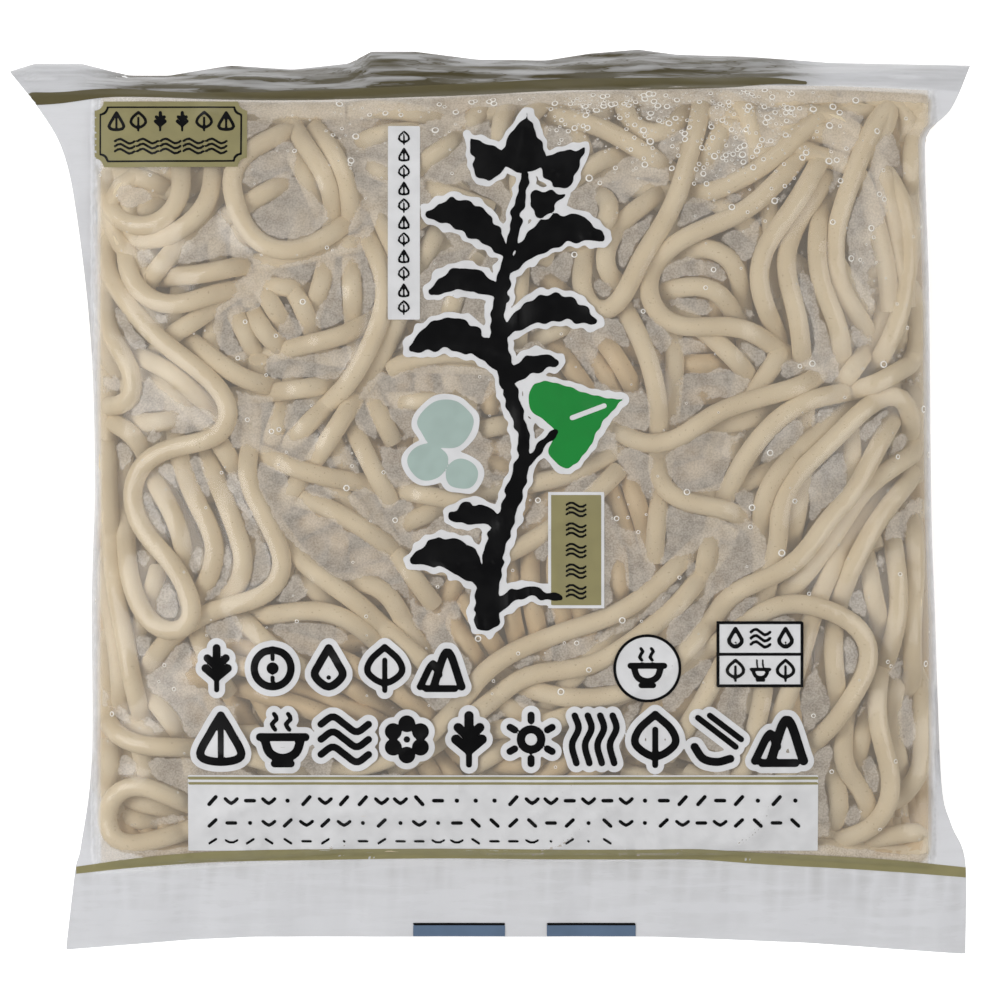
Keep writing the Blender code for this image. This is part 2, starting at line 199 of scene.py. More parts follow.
# The noodles
# Cut noodles of buckwheat and wheat flour, boiled, 3 mm wide and soft, folded loosely into the bag.
# They lie under the film from the top down, each as high as those above let it, in bundles.

NOODLE_WIDTH = 0.0031
NOODLE_THICKNESS = 0.0028
NOODLE_CORNER = 0.0011
NOODLE_PITCH = 0.0029
PRESSED = 0.9
GRID_STEP = 0.0004
STRAND_STEP = 0.0007
SAG_PASSES = 5
CHUNK = 34
NOODLE_SEED = 11
LENGTH_UNDER_FRONT = 13.5
LENGTH_OVER_BACK = 5.0
TAIL_LENGTH = (0.015, 0.05)
TAIL_JOIN = 0.006
END_DIP = 0.0025
END_DIP_LENGTH = 0.003
CURL = 30.0
CURL_LENGTH = 0.02
BODY_MIDDLE = ((BODY_LEFT + BODY_RIGHT) / 2, 470)
WALL_GAP = 0.0021
WALL_FULLNESS = 0.45
WALL_TURN = 170.0
ALONG_WALL = 70.0
SAG_REACH = 2
KINK_REACH = 4
PLACES_TRIED = 400
BARE_FULLNESS = 0.2
BUNDLE_SIZES = [1, 1, 2, 2, 3, 4]
HALF_BUNDLE = (0.03, 0.065)
DRIFT = 0.18
DRIFT_LENGTH = (0.03, 0.06)
UNEVEN = 0.05
NOODLE_SIZES = (0.94, 1.05)
# How far apart the thick places along a noodle are, and how much they count
SWELLINGS = [(0.031, 1.0), (0.0127, 0.6)]

# The bends of the noodles that the photograph shows, those that lie against the film first
STRANDS = [
    # The left side
    [(92, 246), (104, 268), (118, 289), (131, 308), (146, 326), (161, 341), (178, 354), (196, 367),
     (213, 382), (226, 398), (231, 415), (226, 430), (211, 440), (190, 444), (168, 449), (149, 458),
     (137, 472), (132, 491), (134, 512), (143, 530), (155, 545), (170, 560), (181, 577), (189, 594),
     (194, 611), (190, 626), (179, 633), (164, 631), (149, 622), (139, 605), (131, 584), (127, 560),
     (126, 535)],
    [(94, 292), (97, 308), (104, 325), (114, 342), (124, 357), (132, 372), (135, 387), (130, 401),
     (118, 409), (103, 404)],
    [(180, 164), (182, 182), (180, 200), (170, 215), (152, 226), (131, 226), (112, 214), (101, 198),
     (102, 180)],
    [(213, 164), (213, 186), (207, 204), (195, 219), (178, 232), (159, 240), (138, 239), (117, 231),
     (101, 218), (94, 203)],
    [(286, 131), (262, 143), (244, 154), (233, 167), (231, 184), (235, 203), (241, 220), (251, 236),
     (266, 247), (285, 252), (306, 248), (325, 239), (341, 227)],
    [(289, 118), (301, 139), (314, 158), (326, 177), (332, 196), (334, 216), (331, 232)],
    [(304, 116), (319, 133), (333, 152), (343, 171), (349, 192), (352, 211), (350, 230)],
    [(250, 452), (246, 470), (250, 487), (259, 505), (269, 524), (278, 542), (284, 561), (281, 578),
     (269, 593), (250, 601), (229, 606), (208, 613)],
    [(126, 246), (126, 264), (131, 281), (142, 294), (157, 303), (175, 306), (194, 301), (214, 294),
     (232, 290)],
    [(252, 282), (231, 292), (216, 305), (203, 315), (191, 324), (174, 333)],
    [(262, 262), (290, 258), (318, 251), (342, 246), (357, 244)],
    [(364, 225), (372, 247), (382, 268), (386, 292), (382, 316), (374, 338), (362, 362), (348, 385),
     (330, 402)],
    [(380, 215), (390, 240), (401, 262), (404, 290), (400, 315), (390, 340), (376, 366), (362, 388)],
    [(190, 804), (171, 798), (154, 789), (137, 785), (120, 789), (108, 802), (103, 819), (108, 836),
     (120, 845), (138, 845), (156, 840), (184, 832)],
    [(98, 716), (111, 731), (128, 742), (149, 747), (171, 747), (192, 748)],
    [(92, 416), (112, 422), (129, 431), (141, 443), (146, 458)],
    # The right side
    [(703, 92), (700, 115), (694, 139), (687, 162), (681, 186), (671, 209), (660, 230), (648, 247),
     (637, 267), (628, 288), (616, 306), (603, 315), (591, 309), (582, 294), (580, 277), (585, 260)],
    [(624, 92), (624, 111), (634, 128), (653, 135), (672, 129), (684, 115), (690, 100)],
    [(836, 106), (811, 124), (790, 143), (772, 160), (752, 173), (731, 184), (706, 194), (688, 194)],
    [(832, 116), (812, 141), (797, 160), (780, 179), (763, 196), (745, 211), (722, 222), (699, 231),
     (676, 243), (658, 259), (648, 277), (648, 295), (655, 312), (669, 324), (691, 328), (716, 326),
     (740, 328), (759, 335), (770, 345)],
    [(843, 104), (829, 143), (812, 175), (797, 201), (782, 222), (769, 240), (760, 260), (758, 282),
     (763, 303), (772, 324), (781, 342), (777, 361), (765, 375)],
    [(858, 100), (843, 143), (827, 175), (812, 201), (798, 222), (788, 243), (785, 265), (789, 288),
     (796, 311), (800, 335), (802, 358)],
    [(903, 94), (884, 110), (871, 131), (862, 153), (853, 176), (845, 199), (838, 222), (834, 245),
     (836, 268), (842, 290), (852, 308), (862, 322)],
    [(872, 100), (857, 139), (838, 175), (822, 209), (817, 239), (817, 267), (823, 290), (832, 311),
     (840, 333), (842, 354)],
    [(886, 172), (897, 190), (906, 212), (909, 240), (908, 272), (903, 303), (893, 335), (879, 360)],
    [(880, 170), (890, 196), (892, 225), (892, 260), (889, 297), (879, 331), (862, 357), (845, 380)],
    [(869, 165), (874, 194), (875, 224), (875, 260), (872, 296), (863, 326), (846, 352), (832, 372)],
    [(854, 196), (862, 218), (866, 245), (864, 271), (858, 292), (850, 308)],
    [(824, 343), (830, 358), (821, 375), (801, 386), (777, 393), (748, 401), (722, 410), (704, 420),
     (688, 433), (671, 442), (650, 445), (631, 440), (618, 430)],
    [(914, 362), (893, 375), (871, 386), (843, 393), (812, 399), (790, 410), (773, 423), (758, 440),
     (745, 457), (735, 476), (726, 494)],
    [(912, 430), (909, 405), (899, 393), (884, 396), (868, 406), (850, 422), (829, 444), (808, 463),
     (791, 482), (782, 499), (778, 518), (779, 542), (772, 562)],
    [(870, 392), (852, 407), (831, 424), (807, 442), (786, 463), (771, 482), (763, 501), (760, 520),
     (764, 536)],
    [(903, 402), (894, 418), (884, 436), (873, 455), (864, 474), (854, 491), (842, 505), (829, 518),
     (818, 534), (807, 550), (794, 563), (777, 574), (756, 582), (738, 590), (722, 602), (714, 618)],
    [(748, 622), (768, 608), (790, 603), (812, 605), (833, 612), (854, 623), (867, 640), (870, 659),
     (862, 680), (850, 700), (837, 719), (824, 734), (808, 746)],
    [(916, 452), (893, 467), (871, 483), (854, 503), (841, 525), (825, 547), (811, 567), (797, 583),
     (780, 596)],
    [(912, 478), (891, 503), (875, 525), (863, 546), (852, 568), (843, 589), (838, 607)],
    [(896, 480), (872, 506), (854, 530), (841, 551), (831, 572), (822, 590)],
    [(659, 455), (656, 474), (663, 489), (678, 499), (698, 505), (720, 508), (740, 515), (756, 529),
     (765, 546), (761, 564)],
    [(847, 716), (843, 738), (843, 760), (848, 777), (858, 783)],
    [(880, 674), (877, 696), (877, 717), (881, 738), (888, 762), (892, 783), (889, 804), (878, 823),
     (860, 835), (838, 841)],
    [(465, 697), (478, 678), (495, 663), (516, 650), (541, 640), (571, 629), (603, 619), (633, 604),
     (658, 584), (682, 560)],
    [(500, 694), (520, 678), (548, 671), (580, 668), (610, 656), (636, 638), (660, 620), (682, 600),
     (697, 580)],
    # The second layer on the left
    [(130, 354), (150, 360), (169, 371), (187, 386), (204, 401), (218, 411)],
    [(133, 366), (150, 374), (167, 385), (183, 399), (196, 413)],
    [(153, 478), (165, 499), (176, 520), (183, 542), (185, 562), (184, 580)],
    [(187, 480), (195, 499), (204, 516), (213, 533), (216, 550), (214, 567), (206, 584), (197, 596)],
    [(216, 480), (225, 499), (234, 524), (242, 546), (245, 566), (240, 584), (229, 597), (212, 606)],
    [(104, 412), (126, 420), (150, 424), (180, 418), (214, 414)],
    [(196, 345), (215, 360), (233, 373), (251, 382), (269, 386)],
    [(236, 396), (262, 394), (290, 390), (318, 387), (344, 380)],
    [(290, 349), (314, 343), (337, 338), (360, 328), (376, 316)],
    [(230, 302), (240, 322), (250, 342)],
    [(250, 298), (257, 320), (268, 338), (284, 350), (304, 351)],
    [(268, 298), (280, 318), (290, 336), (296, 352)],
    [(298, 298), (308, 318), (314, 336)],
    [(292, 150), (305, 175), (316, 197), (325, 220)],
    [(240, 114), (262, 112), (284, 114), (300, 118)],
    [(240, 131), (262, 129), (284, 130), (300, 134)],
    [(108, 172), (132, 174), (152, 181), (170, 190)],
    [(352, 104), (380, 107), (410, 112), (440, 116)],
    [(356, 146), (374, 135), (400, 132), (432, 130)],
    [(106, 440), (108, 480), (110, 520), (112, 560), (117, 600), (125, 640), (132, 680), (140, 712)],
    [(101, 560), (106, 592), (112, 620), (117, 650), (120, 680), (120, 706)],
    [(96, 640), (102, 665), (109, 688), (116, 708)],
    [(140, 684), (156, 702), (169, 719), (183, 738)],
    [(96, 690), (104, 706), (119, 719), (136, 728), (158, 732)],
    [(106, 728), (110, 750), (109, 772), (105, 792)],
    [(124, 797), (142, 804), (162, 808), (188, 807)],
    [(269, 516), (285, 538), (301, 560), (320, 576), (342, 591), (362, 606), (378, 622)],
    [(344, 584), (363, 581), (382, 588), (396, 604), (404, 622)],
    [(262, 616), (292, 612), (315, 610), (336, 614), (358, 625), (374, 640)],
    [(242, 446), (270, 458), (300, 470), (330, 478), (360, 482)],
    [(300, 498), (325, 506), (350, 520), (372, 534), (390, 548)],
    # The second layer in the middle and on the right
    [(552, 95), (536, 105), (525, 122), (519, 148), (518, 176), (521, 206)],
    [(514, 92), (504, 112), (499, 136), (500, 162), (504, 190)],
    [(490, 94), (479, 110), (470, 128)],
    [(552, 116), (584, 121), (606, 130), (628, 142), (646, 154), (664, 166)],
    [(560, 190), (584, 170), (606, 158), (632, 152)],
    [(576, 188), (601, 175), (624, 169), (648, 168), (668, 172)],
    [(562, 204), (584, 195), (604, 192), (612, 207), (605, 226), (588, 239), (560, 244)],
    [(658, 195), (637, 209), (620, 224), (609, 241), (603, 258), (607, 275), (618, 286), (635, 288)],
    [(674, 258), (694, 247), (716, 250), (731, 259), (739, 274), (740, 292)],
    [(656, 294), (680, 288), (705, 286), (722, 295), (732, 311), (740, 326)],
    [(672, 332), (675, 356), (673, 386)],
    [(700, 424), (726, 425), (748, 420), (772, 413)],
    [(512, 486), (541, 482), (572, 474), (594, 463)],
    [(622, 626), (641, 605), (663, 582), (686, 556)],
    [(934, 690), (937, 719), (934, 745), (925, 766), (914, 783), (902, 798)],
    [(892, 716), (894, 745), (902, 766), (906, 790)],
    [(833, 778), (841, 798), (839, 818), (828, 836)],
    [(820, 784), (826, 802), (824, 824)],
    [(830, 844), (865, 841), (897, 835), (926, 832), (946, 842)],
    [(893, 540), (897, 571), (899, 594), (897, 622), (890, 650), (882, 676)],
    [(868, 566), (875, 603), (883, 634), (884, 660)],
    [(914, 520), (916, 560), (914, 600), (912, 640), (914, 680)],
    [(944, 98), (926, 108), (906, 114), (890, 128)],
]


def smooth_share(values, start, end):
    """0 up to start, 1 from end on, and smooth between them."""
    share = np.clip((values - start) / (end - start), 0, 1)
    return share * share * (3 - 2 * share)


def averaged(values, reach):
    """Each number of a row made the mean of those up to reach places before and after it."""
    count = 2 * reach + 1
    return np.convolve(np.pad(values, reach, mode="edge"), np.ones(count) / count, mode="valid")


grid_x = np.arange(bag_low.x, bag_high.x, GRID_STEP)
grid_y = np.arange(bag_low.y, bag_high.y, GRID_STEP)
grid = np.meshgrid(grid_x, grid_y)


def footprint(radius):
    """The steps from a noodle's middle to each grid cell under it, and its height there."""
    reach = int(radius / GRID_STEP)
    steps = np.arange(-reach, reach + 1)
    dx, dy = (d.ravel() for d in np.meshgrid(steps, steps))
    apart = np.hypot(dx, dy) * GRID_STEP
    inside = apart < radius
    return dx[inside], dy[inside], np.sqrt(radius**2 - apart[inside] ** 2)


def cells_under(line, dx, dy):
    """The grid cells under each point of a line, one row for each point."""
    column = np.round((line[:, 0] - grid_x[0]) / GRID_STEP).astype(int)
    row = np.round((line[:, 1] - grid_y[0]) / GRID_STEP).astype(int)
    rows = np.clip(row[:, None] + dy, 0, len(grid_y) - 1)
    columns = np.clip(column[:, None] + dx, 0, len(grid_x) - 1)
    return rows, columns


class Space:
    """The room between a ceiling and a floor. Each noodle laid in it takes its own share."""

    def __init__(self, ceiling, floor):
        radius = NOODLE_WIDTH / 2 * PRESSED
        spare = NOODLE_WIDTH / 2 - radius
        self.ceiling = ceiling - spare
        self.highest = self.ceiling.copy()
        self.floor = floor + spare
        self.dx, self.dy, self.dome = footprint(radius)

    def lay(self, line, start_height=None):
        """The heights of a noodle's middle, as high as what is above lets it lie.

        A noodle that goes on from the end of another starts at that end's height.
        """
        rows, columns = cells_under(line, self.dx, self.dy)
        most = np.empty(len(line))
        for start in range(0, len(line), CHUNK):
            here = slice(start, start + CHUNK)
            most[here] = (self.ceiling[rows[here], columns[here]] - self.dome).min(axis=1)
            before = slice(max(0, start - CHUNK), start)
            self.take(rows[before], columns[before], most[before])
        least = (self.floor[rows, columns] + self.dome).max(axis=1)
        along = np.arange(len(line)) * STRAND_STEP
        most -= END_DIP * np.exp(-along[::-1] / END_DIP_LENGTH)
        if start_height is None:
            most -= END_DIP * np.exp(-along / END_DIP_LENGTH)
        else:
            joined = 1 - smooth_share(along, 0, TAIL_JOIN)
            most += (start_height - most) * joined
            least += (np.minimum(least, start_height) - least) * joined
        height = most.copy()
        for _ in range(SAG_PASSES):
            height = np.minimum(most, averaged(height, SAG_REACH))
        film = (self.highest[rows, columns] - self.dome).min(axis=1)
        height = np.minimum(np.maximum(height, least), film)
        self.take(rows, columns, height)
        return height

    def take(self, rows, columns, height):
        """Lowers the ceiling to under a noodle whose middle runs at these heights."""
        np.minimum.at(self.ceiling, (rows, columns), height[:, None] - self.dome)


def side_by_side(random, line, count):
    """The line repeated as neighbours, which drift a little apart and together again."""
    ahead = np.gradient(line, axis=0)
    ahead /= np.linalg.norm(ahead, axis=1)[:, None]
    sideways = np.stack([-ahead[:, 1], ahead[:, 0]], axis=1)
    along = np.arange(len(line)) * STRAND_STEP
    for k in range(count):
        drift = DRIFT * np.sin(2 * np.pi * (along / random.uniform(*DRIFT_LENGTH) + random.random()))
        yield line + sideways * (NOODLE_PITCH * (k - (count - 1) / 2 + drift * (count > 1)))[:, None]


def inside_walls(line):
    """The line with each place that is too near a wall of the bag moved in, and its kinks eased."""
    x, y = line.T
    left, right, low, high = walls(x, y)
    x = np.clip(x, left + WALL_GAP, right - WALL_GAP)
    y = np.clip(y, low + WALL_GAP, high - WALL_GAP)
    return np.stack([averaged(x, KINK_REACH), averaged(y, KINK_REACH)], axis=1)


def wander(random, start, heading, steps):
    """A way through the heap: it bends from side to side, keeps along the walls and turns at them."""
    place = start
    curl = random.normal(0, CURL)
    line = [place]
    middle = metres(BODY_MIDDLE)
    half = metres((BODY_RIGHT, PHOTO_TOP)) - middle
    for _ in range(steps):
        curl += random.normal(0, CURL) * np.sqrt(STRAND_STEP / CURL_LENGTH)
        curl -= curl * STRAND_STEP / CURL_LENGTH
        heading += curl * STRAND_STEP
        out = ((place - middle) / half) ** 3
        nearness = min(1.0, np.hypot(*out))
        wall = np.arctan2(out[0], -out[1])
        heading += ALONG_WALL * STRAND_STEP * nearness * np.sin(2 * (wall - heading)) / 2
        if fullness(*place) < WALL_FULLNESS:
            inward = np.arctan2(middle[1] - place[1], middle[0] - place[0])
            turn = (inward - heading + np.pi) % (2 * np.pi) - np.pi
            heading += WALL_TURN * STRAND_STEP * np.clip(turn, -1, 1)
        place = place + STRAND_STEP * np.array([np.cos(heading), np.sin(heading)])
        line.append(place)
    return inside_walls(np.array(line))


def barest_place(random, space):
    """Of many places in the body, the one where the noodles laid so far leave most room open."""
    corner = metres([(BODY_LEFT, PHOTO_BOTTOM), (BODY_RIGHT, PHOTO_TOP)])
    places = random.uniform(corner[0], corner[1], (PLACES_TRIED, 2))
    places = places[fullness(*places.T) > BARE_FULLNESS]
    rows, columns = cells_under(places, space.dx, space.dy)
    taken = (space.highest - space.ceiling)[rows, columns].mean(axis=1)
    return places[taken.argmin()]


def bundles(random, space, length):
    """Bundles of one to four noodles that wander through the barest places, up to a total length."""
    made = 0
    while made < length:
        middle = barest_place(random, space)
        heading = random.uniform(-np.pi, np.pi)
        half = round(random.uniform(*HALF_BUNDLE) / STRAND_STEP)
        ahead = wander(random, middle, heading, half)
        behind = wander(random, middle, heading + np.pi, half)
        whole = np.vstack([behind[:0:-1], ahead])
        for line in side_by_side(random, whole, random.choice(BUNDLE_SIZES)):
            made += len(line) * STRAND_STEP
            yield inside_walls(line)


def with_tail(random, space, line):
    """A laid noodle that goes on from its last point, down among the noodles laid since."""
    ahead = line[-1] - line[-4]
    heading = np.arctan2(ahead[1], ahead[0])
    steps = round(random.uniform(*TAIL_LENGTH) / STRAND_STEP)
    tail = wander(random, line[-1, :2], heading, steps)[1:]
    return np.vstack([line, np.column_stack([tail, space.lay(tail, line[-1, 2])])])


random = np.random.default_rng(NOODLE_SEED)
front_space = Space(front_height(*grid), back_height(*grid))
front_lines = []
for bends in STRANDS:
    line = inside_walls(smooth_line(metres(bends), STRAND_STEP))
    front_lines.append(np.column_stack([line, front_space.lay(line)]))
for k, line in enumerate(front_lines):
    whole = with_tail(random, front_space, line)
    front_lines[k] = with_tail(random, front_space, whole[::-1])
strands_made = len(front_lines)
for line in bundles(random, front_space, LENGTH_UNDER_FRONT):
    front_lines.append(np.column_stack([line, front_space.lay(line)]))

back_space = Space(-back_height(*grid), -front_height(*grid))
back_lines = []
for line in bundles(random, back_space, LENGTH_OVER_BACK):
    heights = -back_space.lay(line)
    under_film = front_height(*line.T) - NOODLE_THICKNESS
    back_lines.append(np.column_stack([line, np.minimum(heights, under_film)]))


class Shade:
    """A value that varies over a surface, as a socket in a material. Sums on it add Math nodes."""

    def __init__(self, tree, socket=None):
        self.tree = tree
        self.socket = socket

    def node(self, kind, settings=None, values=None, output=0):
        """Any other node: its settings come first, then the values or links of its sockets."""
        made = self.tree.nodes.new(kind)
        for name, value in (settings or {}).items():
            if name == "stops":
                while len(made.color_ramp.elements) < len(value):
                    made.color_ramp.elements.new(1.0)
                for stop, (place, colour) in zip(made.color_ramp.elements, value):
                    stop.position = place
                    stop.color = (*colour, 1)
            else:
                setattr(made, name, value)
        for name, value in (values or {}).items():
            if isinstance(value, Shade):
                self.tree.links.new(value.socket, made.inputs[name])
            else:
                made.inputs[name].default_value = value
        return Shade(self.tree, made.outputs[output])

    def math(self, operation, first, second, clamped=False):
        return self.node(
            "ShaderNodeMath", {"operation": operation, "use_clamp": clamped}, {0: first, 1: second}
        )

    def __add__(self, other):
        return self.math("ADD", self, other)

    def __radd__(self, other):
        return self.math("ADD", other, self)

    def __sub__(self, other):
        return self.math("SUBTRACT", self, other)

    def __rsub__(self, other):
        return self.math("SUBTRACT", other, self)

    def __mul__(self, other):
        return self.math("MULTIPLY", self, other)

    def __rmul__(self, other):
        return self.math("MULTIPLY", other, self)

    def clamped(self):
        """Kept between 0 and 1."""
        return self.math("ADD", self, 0.0, clamped=True)

    def eased(self, start, end):
        """0 below start, 1 above end, and smooth between them."""
        return self.node(
            "ShaderNodeMapRange",
            {"interpolation_type": "SMOOTHSTEP"},
            {"Value": self, "From Min": start, "From Max": end},
        )

    def noise(self, size, detail):
        """Cloudy noise from 0 to 1, with lumps of about the size given in metres."""
        return self.node("ShaderNodeTexNoise", None, {"Vector": self, "Scale": 1 / size, "Detail": detail})

    def mixed(self, first, second):
        """The first colour where this value is 0, the second where it is 1."""
        return self.node(
            "ShaderNodeMix",
            {"data_type": "RGBA"},
            {0: self, 6: (*first, 1) if isinstance(first, tuple) else first,
             7: (*second, 1) if isinstance(second, tuple) else second},
            output=2,
        )


def new_material(name):
    """An empty material, its Principled shader and the place on the object as a Shade."""
    material = bpy.data.materials.new(name)
    material.use_nodes = True
    tree = material.node_tree
    shader = tree.nodes["Principled BSDF"]
    start = Shade(tree)
    place = start.node("ShaderNodeTexCoord", output="Object")
    return material, shader, place


def link(shade, shader, name):
    """Feeds a shade to one of a shader's inputs."""
    shade.tree.links.new(shade.socket, shader.inputs[name])


# The clouds and the specks of bran in the dough: their sizes, and how the specks colour it
DOUGH_CLOUDS = 0.007
BRAN_SPECKS = 0.00035
BRAN_COLOUR = (0.30, 0.21, 0.13)
BRAN_SHARE = 0.4
NOODLE_ROUGHNESS = 0.5
NOODLE_SHEEN = 0.25


def noodle_material(name, pale, deep):
    """Moist boiled dough: cream, clouded with grey beige, with a few specks of bran."""
    material, shader, place = new_material(name)
    cloud = place.noise(DOUGH_CLOUDS, 1.0).eased(0.3, 0.7)
    specks = place.noise(BRAN_SPECKS, 0.0).eased(0.76, 0.8)
    colour = cloud.mixed(pale, deep)
    colour = (specks * BRAN_SHARE).mixed(colour, BRAN_COLOUR)
    link(colour, shader, "Base Color")
    shader.inputs["Roughness"].default_value = NOODLE_ROUGHNESS
    shader.inputs["Specular IOR Level"].default_value = NOODLE_SHEEN
    return material


def new_tree(name, inputs):
    """A Geometry Nodes tree with named inputs, and its input and output nodes."""
    tree = bpy.data.node_groups.new(name, "GeometryNodeTree")
    for name, kind in inputs.items():
        tree.interface.new_socket(name, in_out="INPUT", socket_type="NodeSocket" + kind)
    tree.interface.new_socket("Geometry", in_out="OUTPUT", socket_type="NodeSocketGeometry")
    return tree, tree.nodes.new("NodeGroupInput"), tree.nodes.new("NodeGroupOutput")


def noodle_tree():
    """Geometry Nodes: a flattened square section with round corners along every curve."""
    tree, given, result = new_tree(
        "noodles_along_curves",
        {"Geometry": "Geometry", "Width": "Float", "Thickness": "Float", "Corner": "Float",
         "Corner points": "Int", "Material": "Material"},
    )
    section = tree.nodes.new("GeometryNodeCurvePrimitiveQuadrilateral")
    rounded = tree.nodes.new("GeometryNodeFilletCurve")
    upright = tree.nodes.new("GeometryNodeSetCurveNormal")
    swept = tree.nodes.new("GeometryNodeCurveToMesh")
    smooth = tree.nodes.new("GeometryNodeSetShadeSmooth")
    realized = tree.nodes.new("GeometryNodeRealizeInstances")
    finish = tree.nodes.new("GeometryNodeSetMaterial")
    rounded.mode = "POLY"
    upright.mode = "Z_UP"
    swept.inputs["Fill Caps"].default_value = True
    tree.links.new(given.outputs["Width"], section.inputs["Width"])
    tree.links.new(given.outputs["Thickness"], section.inputs["Height"])
    tree.links.new(section.outputs[0], rounded.inputs["Curve"])
    tree.links.new(given.outputs["Corner"], rounded.inputs["Radius"])
    tree.links.new(given.outputs["Corner points"], rounded.inputs["Count"])
    tree.links.new(given.outputs["Geometry"], upright.inputs["Curve"])
    tree.links.new(upright.outputs[0], swept.inputs["Curve"])
    tree.links.new(rounded.outputs[0], swept.inputs["Profile Curve"])
    tree.links.new(swept.outputs[0], smooth.inputs[0])
    tree.links.new(smooth.outputs[0], realized.inputs[0])
    tree.links.new(realized.outputs[0], finish.inputs[0])
    tree.links.new(given.outputs["Material"], finish.inputs["Material"])
    tree.links.new(finish.outputs[0], result.inputs[0])
    return tree


def set_input(modifier, name, value):
    """Sets a Geometry Nodes input, found by its name, through its identifier."""
    for item in modifier.node_group.interface.items_tree:
        if item.name == name and item.in_out == "INPUT":
            modifier[item.identifier] = value


def plain_mesh(obj, name):
    """The evaluated shape of an object as a plain mesh on a new object. The old one is removed."""
    graph = bpy.context.evaluated_depsgraph_get()
    mesh = bpy.data.meshes.new_from_object(obj.evaluated_get(graph))
    mesh.name = name
    bpy.data.objects.remove(obj)
    made = bpy.data.objects.new(name, mesh)
    bpy.context.scene.collection.objects.link(made)
    return made


def noodles(name, lines, corner_points, every, material):
    """The noodles along a set of lines, as one mesh. A line keeps one point in every so many."""
    curve = bpy.data.curves.new(name + "_lines", "CURVE")
    curve.dimensions = "3D"
    for line in lines:
        kept = line[::every]
        spline = curve.splines.new("POLY")
        spline.points.add(len(kept) - 1)
        spline.points.foreach_set("co", np.column_stack([kept, np.ones(len(kept))]).ravel())
        along = np.arange(len(kept)) * STRAND_STEP * every
        size = np.ones(len(kept))
        for length, share in SWELLINGS:
            size += UNEVEN * share * np.sin(2 * np.pi * (along / length + random.random()))
        spline.points.foreach_set("radius", size * random.uniform(*NOODLE_SIZES))
    obj = bpy.data.objects.new(name + "_lines", curve)
    bpy.context.scene.collection.objects.link(obj)
    modifier = obj.modifiers.new("noodles", "NODES")
    modifier.node_group = noodle_tree()
    set_input(modifier, "Width", NOODLE_WIDTH)
    set_input(modifier, "Thickness", NOODLE_THICKNESS)
    set_input(modifier, "Corner", NOODLE_CORNER)
    set_input(modifier, "Corner points", corner_points)
    set_input(modifier, "Material", material)
    piece = plain_mesh(obj, name)
    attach(piece, "root")
    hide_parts("noodle_bag")


# How many of the noodles that the photograph shows lie against the film
AGAINST_FILM = 42
# The palest and the deepest colour of the noodles, and of a browner, darker copy that paints shade on the
# noodles deep in the heap
BOILED_COLOURS = [(0.79, 0.68, 0.49), (0.71, 0.595, 0.41)]
SHADED_NOODLE_COLOURS = [(0.72, 0.56, 0.35), (0.62, 0.47, 0.28)]
boiled_noodle = noodle_material("boiled_noodle", *BOILED_COLOURS)
shaded_noodle = noodle_material("shaded_noodle", *SHADED_NOODLE_COLOURS)
noodles("noodles_against_film", front_lines[:AGAINST_FILM], 2, 2, boiled_noodle)
noodles("noodles_below_them", front_lines[AGAINST_FILM:strands_made], 2, 2, boiled_noodle)
noodles("noodles_within", front_lines[strands_made:], 1, 3, shaded_noodle)
noodles("noodles_on_back", back_lines, 1, 3, boiled_noodle)


# The film
# Clear polypropylene 0.04 mm thick. It clings to the wet noodles and bridges the gaps between them,
# where moisture fogs its inner side. It is milky in its welds, and crumpled above the top one.

FILM_COLUMNS = 236
FILM_ROWS = 190
BOTTOM_SEAL_ROWS = 14
TOP_SEAL_ROWS = 22
BACK_COLUMNS = 100
BACK_ROWS = 84
BACK_LOW_ROWS = 8
BACK_HIGH_ROWS = 12
EVEN_SHARE = 0.6
WEB_TRIM = 0.0003
TRIM_FULLNESS = 0.1
FILM_CLEARANCE = 0.00018
FILM_WIDENING = 1.05
FILM_MOST_SAG = 0.0013
SAG_RISE = 4
FILM_PRESSURE = 0.000003
FILM_PASSES = 350
FILM_SEED = 23
# The folds in the welds: how many, how far apart and how long
FLAP_FOLDS = (7, 0.0034, 0.05)
FLAP_WRINKLES = (6, 0.0022, 0.016)
FLAP_HEIGHT = 0.0009
BOTTOM_FOLDS = (5, 0.009, 0.06)
BOTTOM_FOLD_HEIGHT = 0.0005
# The pleats from each edge of the body: how many, and how long, wide and high they are at most
TOP_PLEATS = (70, 0.016, 0.0011, 0.00055)
BOTTOM_PLEATS = (60, 0.013, 0.001, 0.00045)
SIDE_PLEATS = (45, 0.012, 0.0012, 0.0004)
PLEAT_RISE = 6
PLEAT_SLANT = 0.3
# The least and the most that a pleat or a fold has of its length, its width or its height
PLEAT_LENGTHS = (0.25, 1)
PLEAT_WIDTHS = (0.6, 1.5)
PLEAT_HEIGHTS = (0.3, 1)
FOLD_LENGTHS = (0.6, 1.8)
FOLD_WIDTHS = (0.6, 1.6)
FILM_GLOSS = 0.16
FILM_INDEX = 1.45
FILM_VEIL = 0.23
# Sizes of what breaks up the fog and of the fine folds in the welds, which are drawn out across the bag and
# painted on as shade and highlight
FOG_LUMPS = 0.003
FOG_EDGE = 0.0009
FOG_DRIFT = 0.0022
FOG_GRAIN = 0.00028
FINE_FOLDS = 0.0015
DRAWN_OUT = (0.12, 1.0, 1.0)
FOG_COLOUR = (0.66, 0.59, 0.505)
# How dense the fog is at its thinnest, and what its drifts and its grain add to that
FOG_THINNEST = 0.26
DRIFT_DENSITY = 0.22
GRAIN_DENSITY = 0.26
MILKY_COLOUR = (0.735, 0.74, 0.765)
MILKY_ROUGHNESS = 0.8
# The dark colour toward which painted shade turns the milky film
PAINTED_SHADE_COLOUR = (0.075, 0.062, 0.027)


def rounded_steps(count):
    """Numbers from 0 to 1, closer together at both ends."""
    even = np.linspace(0, 1, count + 1)
    return EVEN_SHARE * even + (1 - EVEN_SHARE) * (1 - np.cos(np.pi * even)) / 2


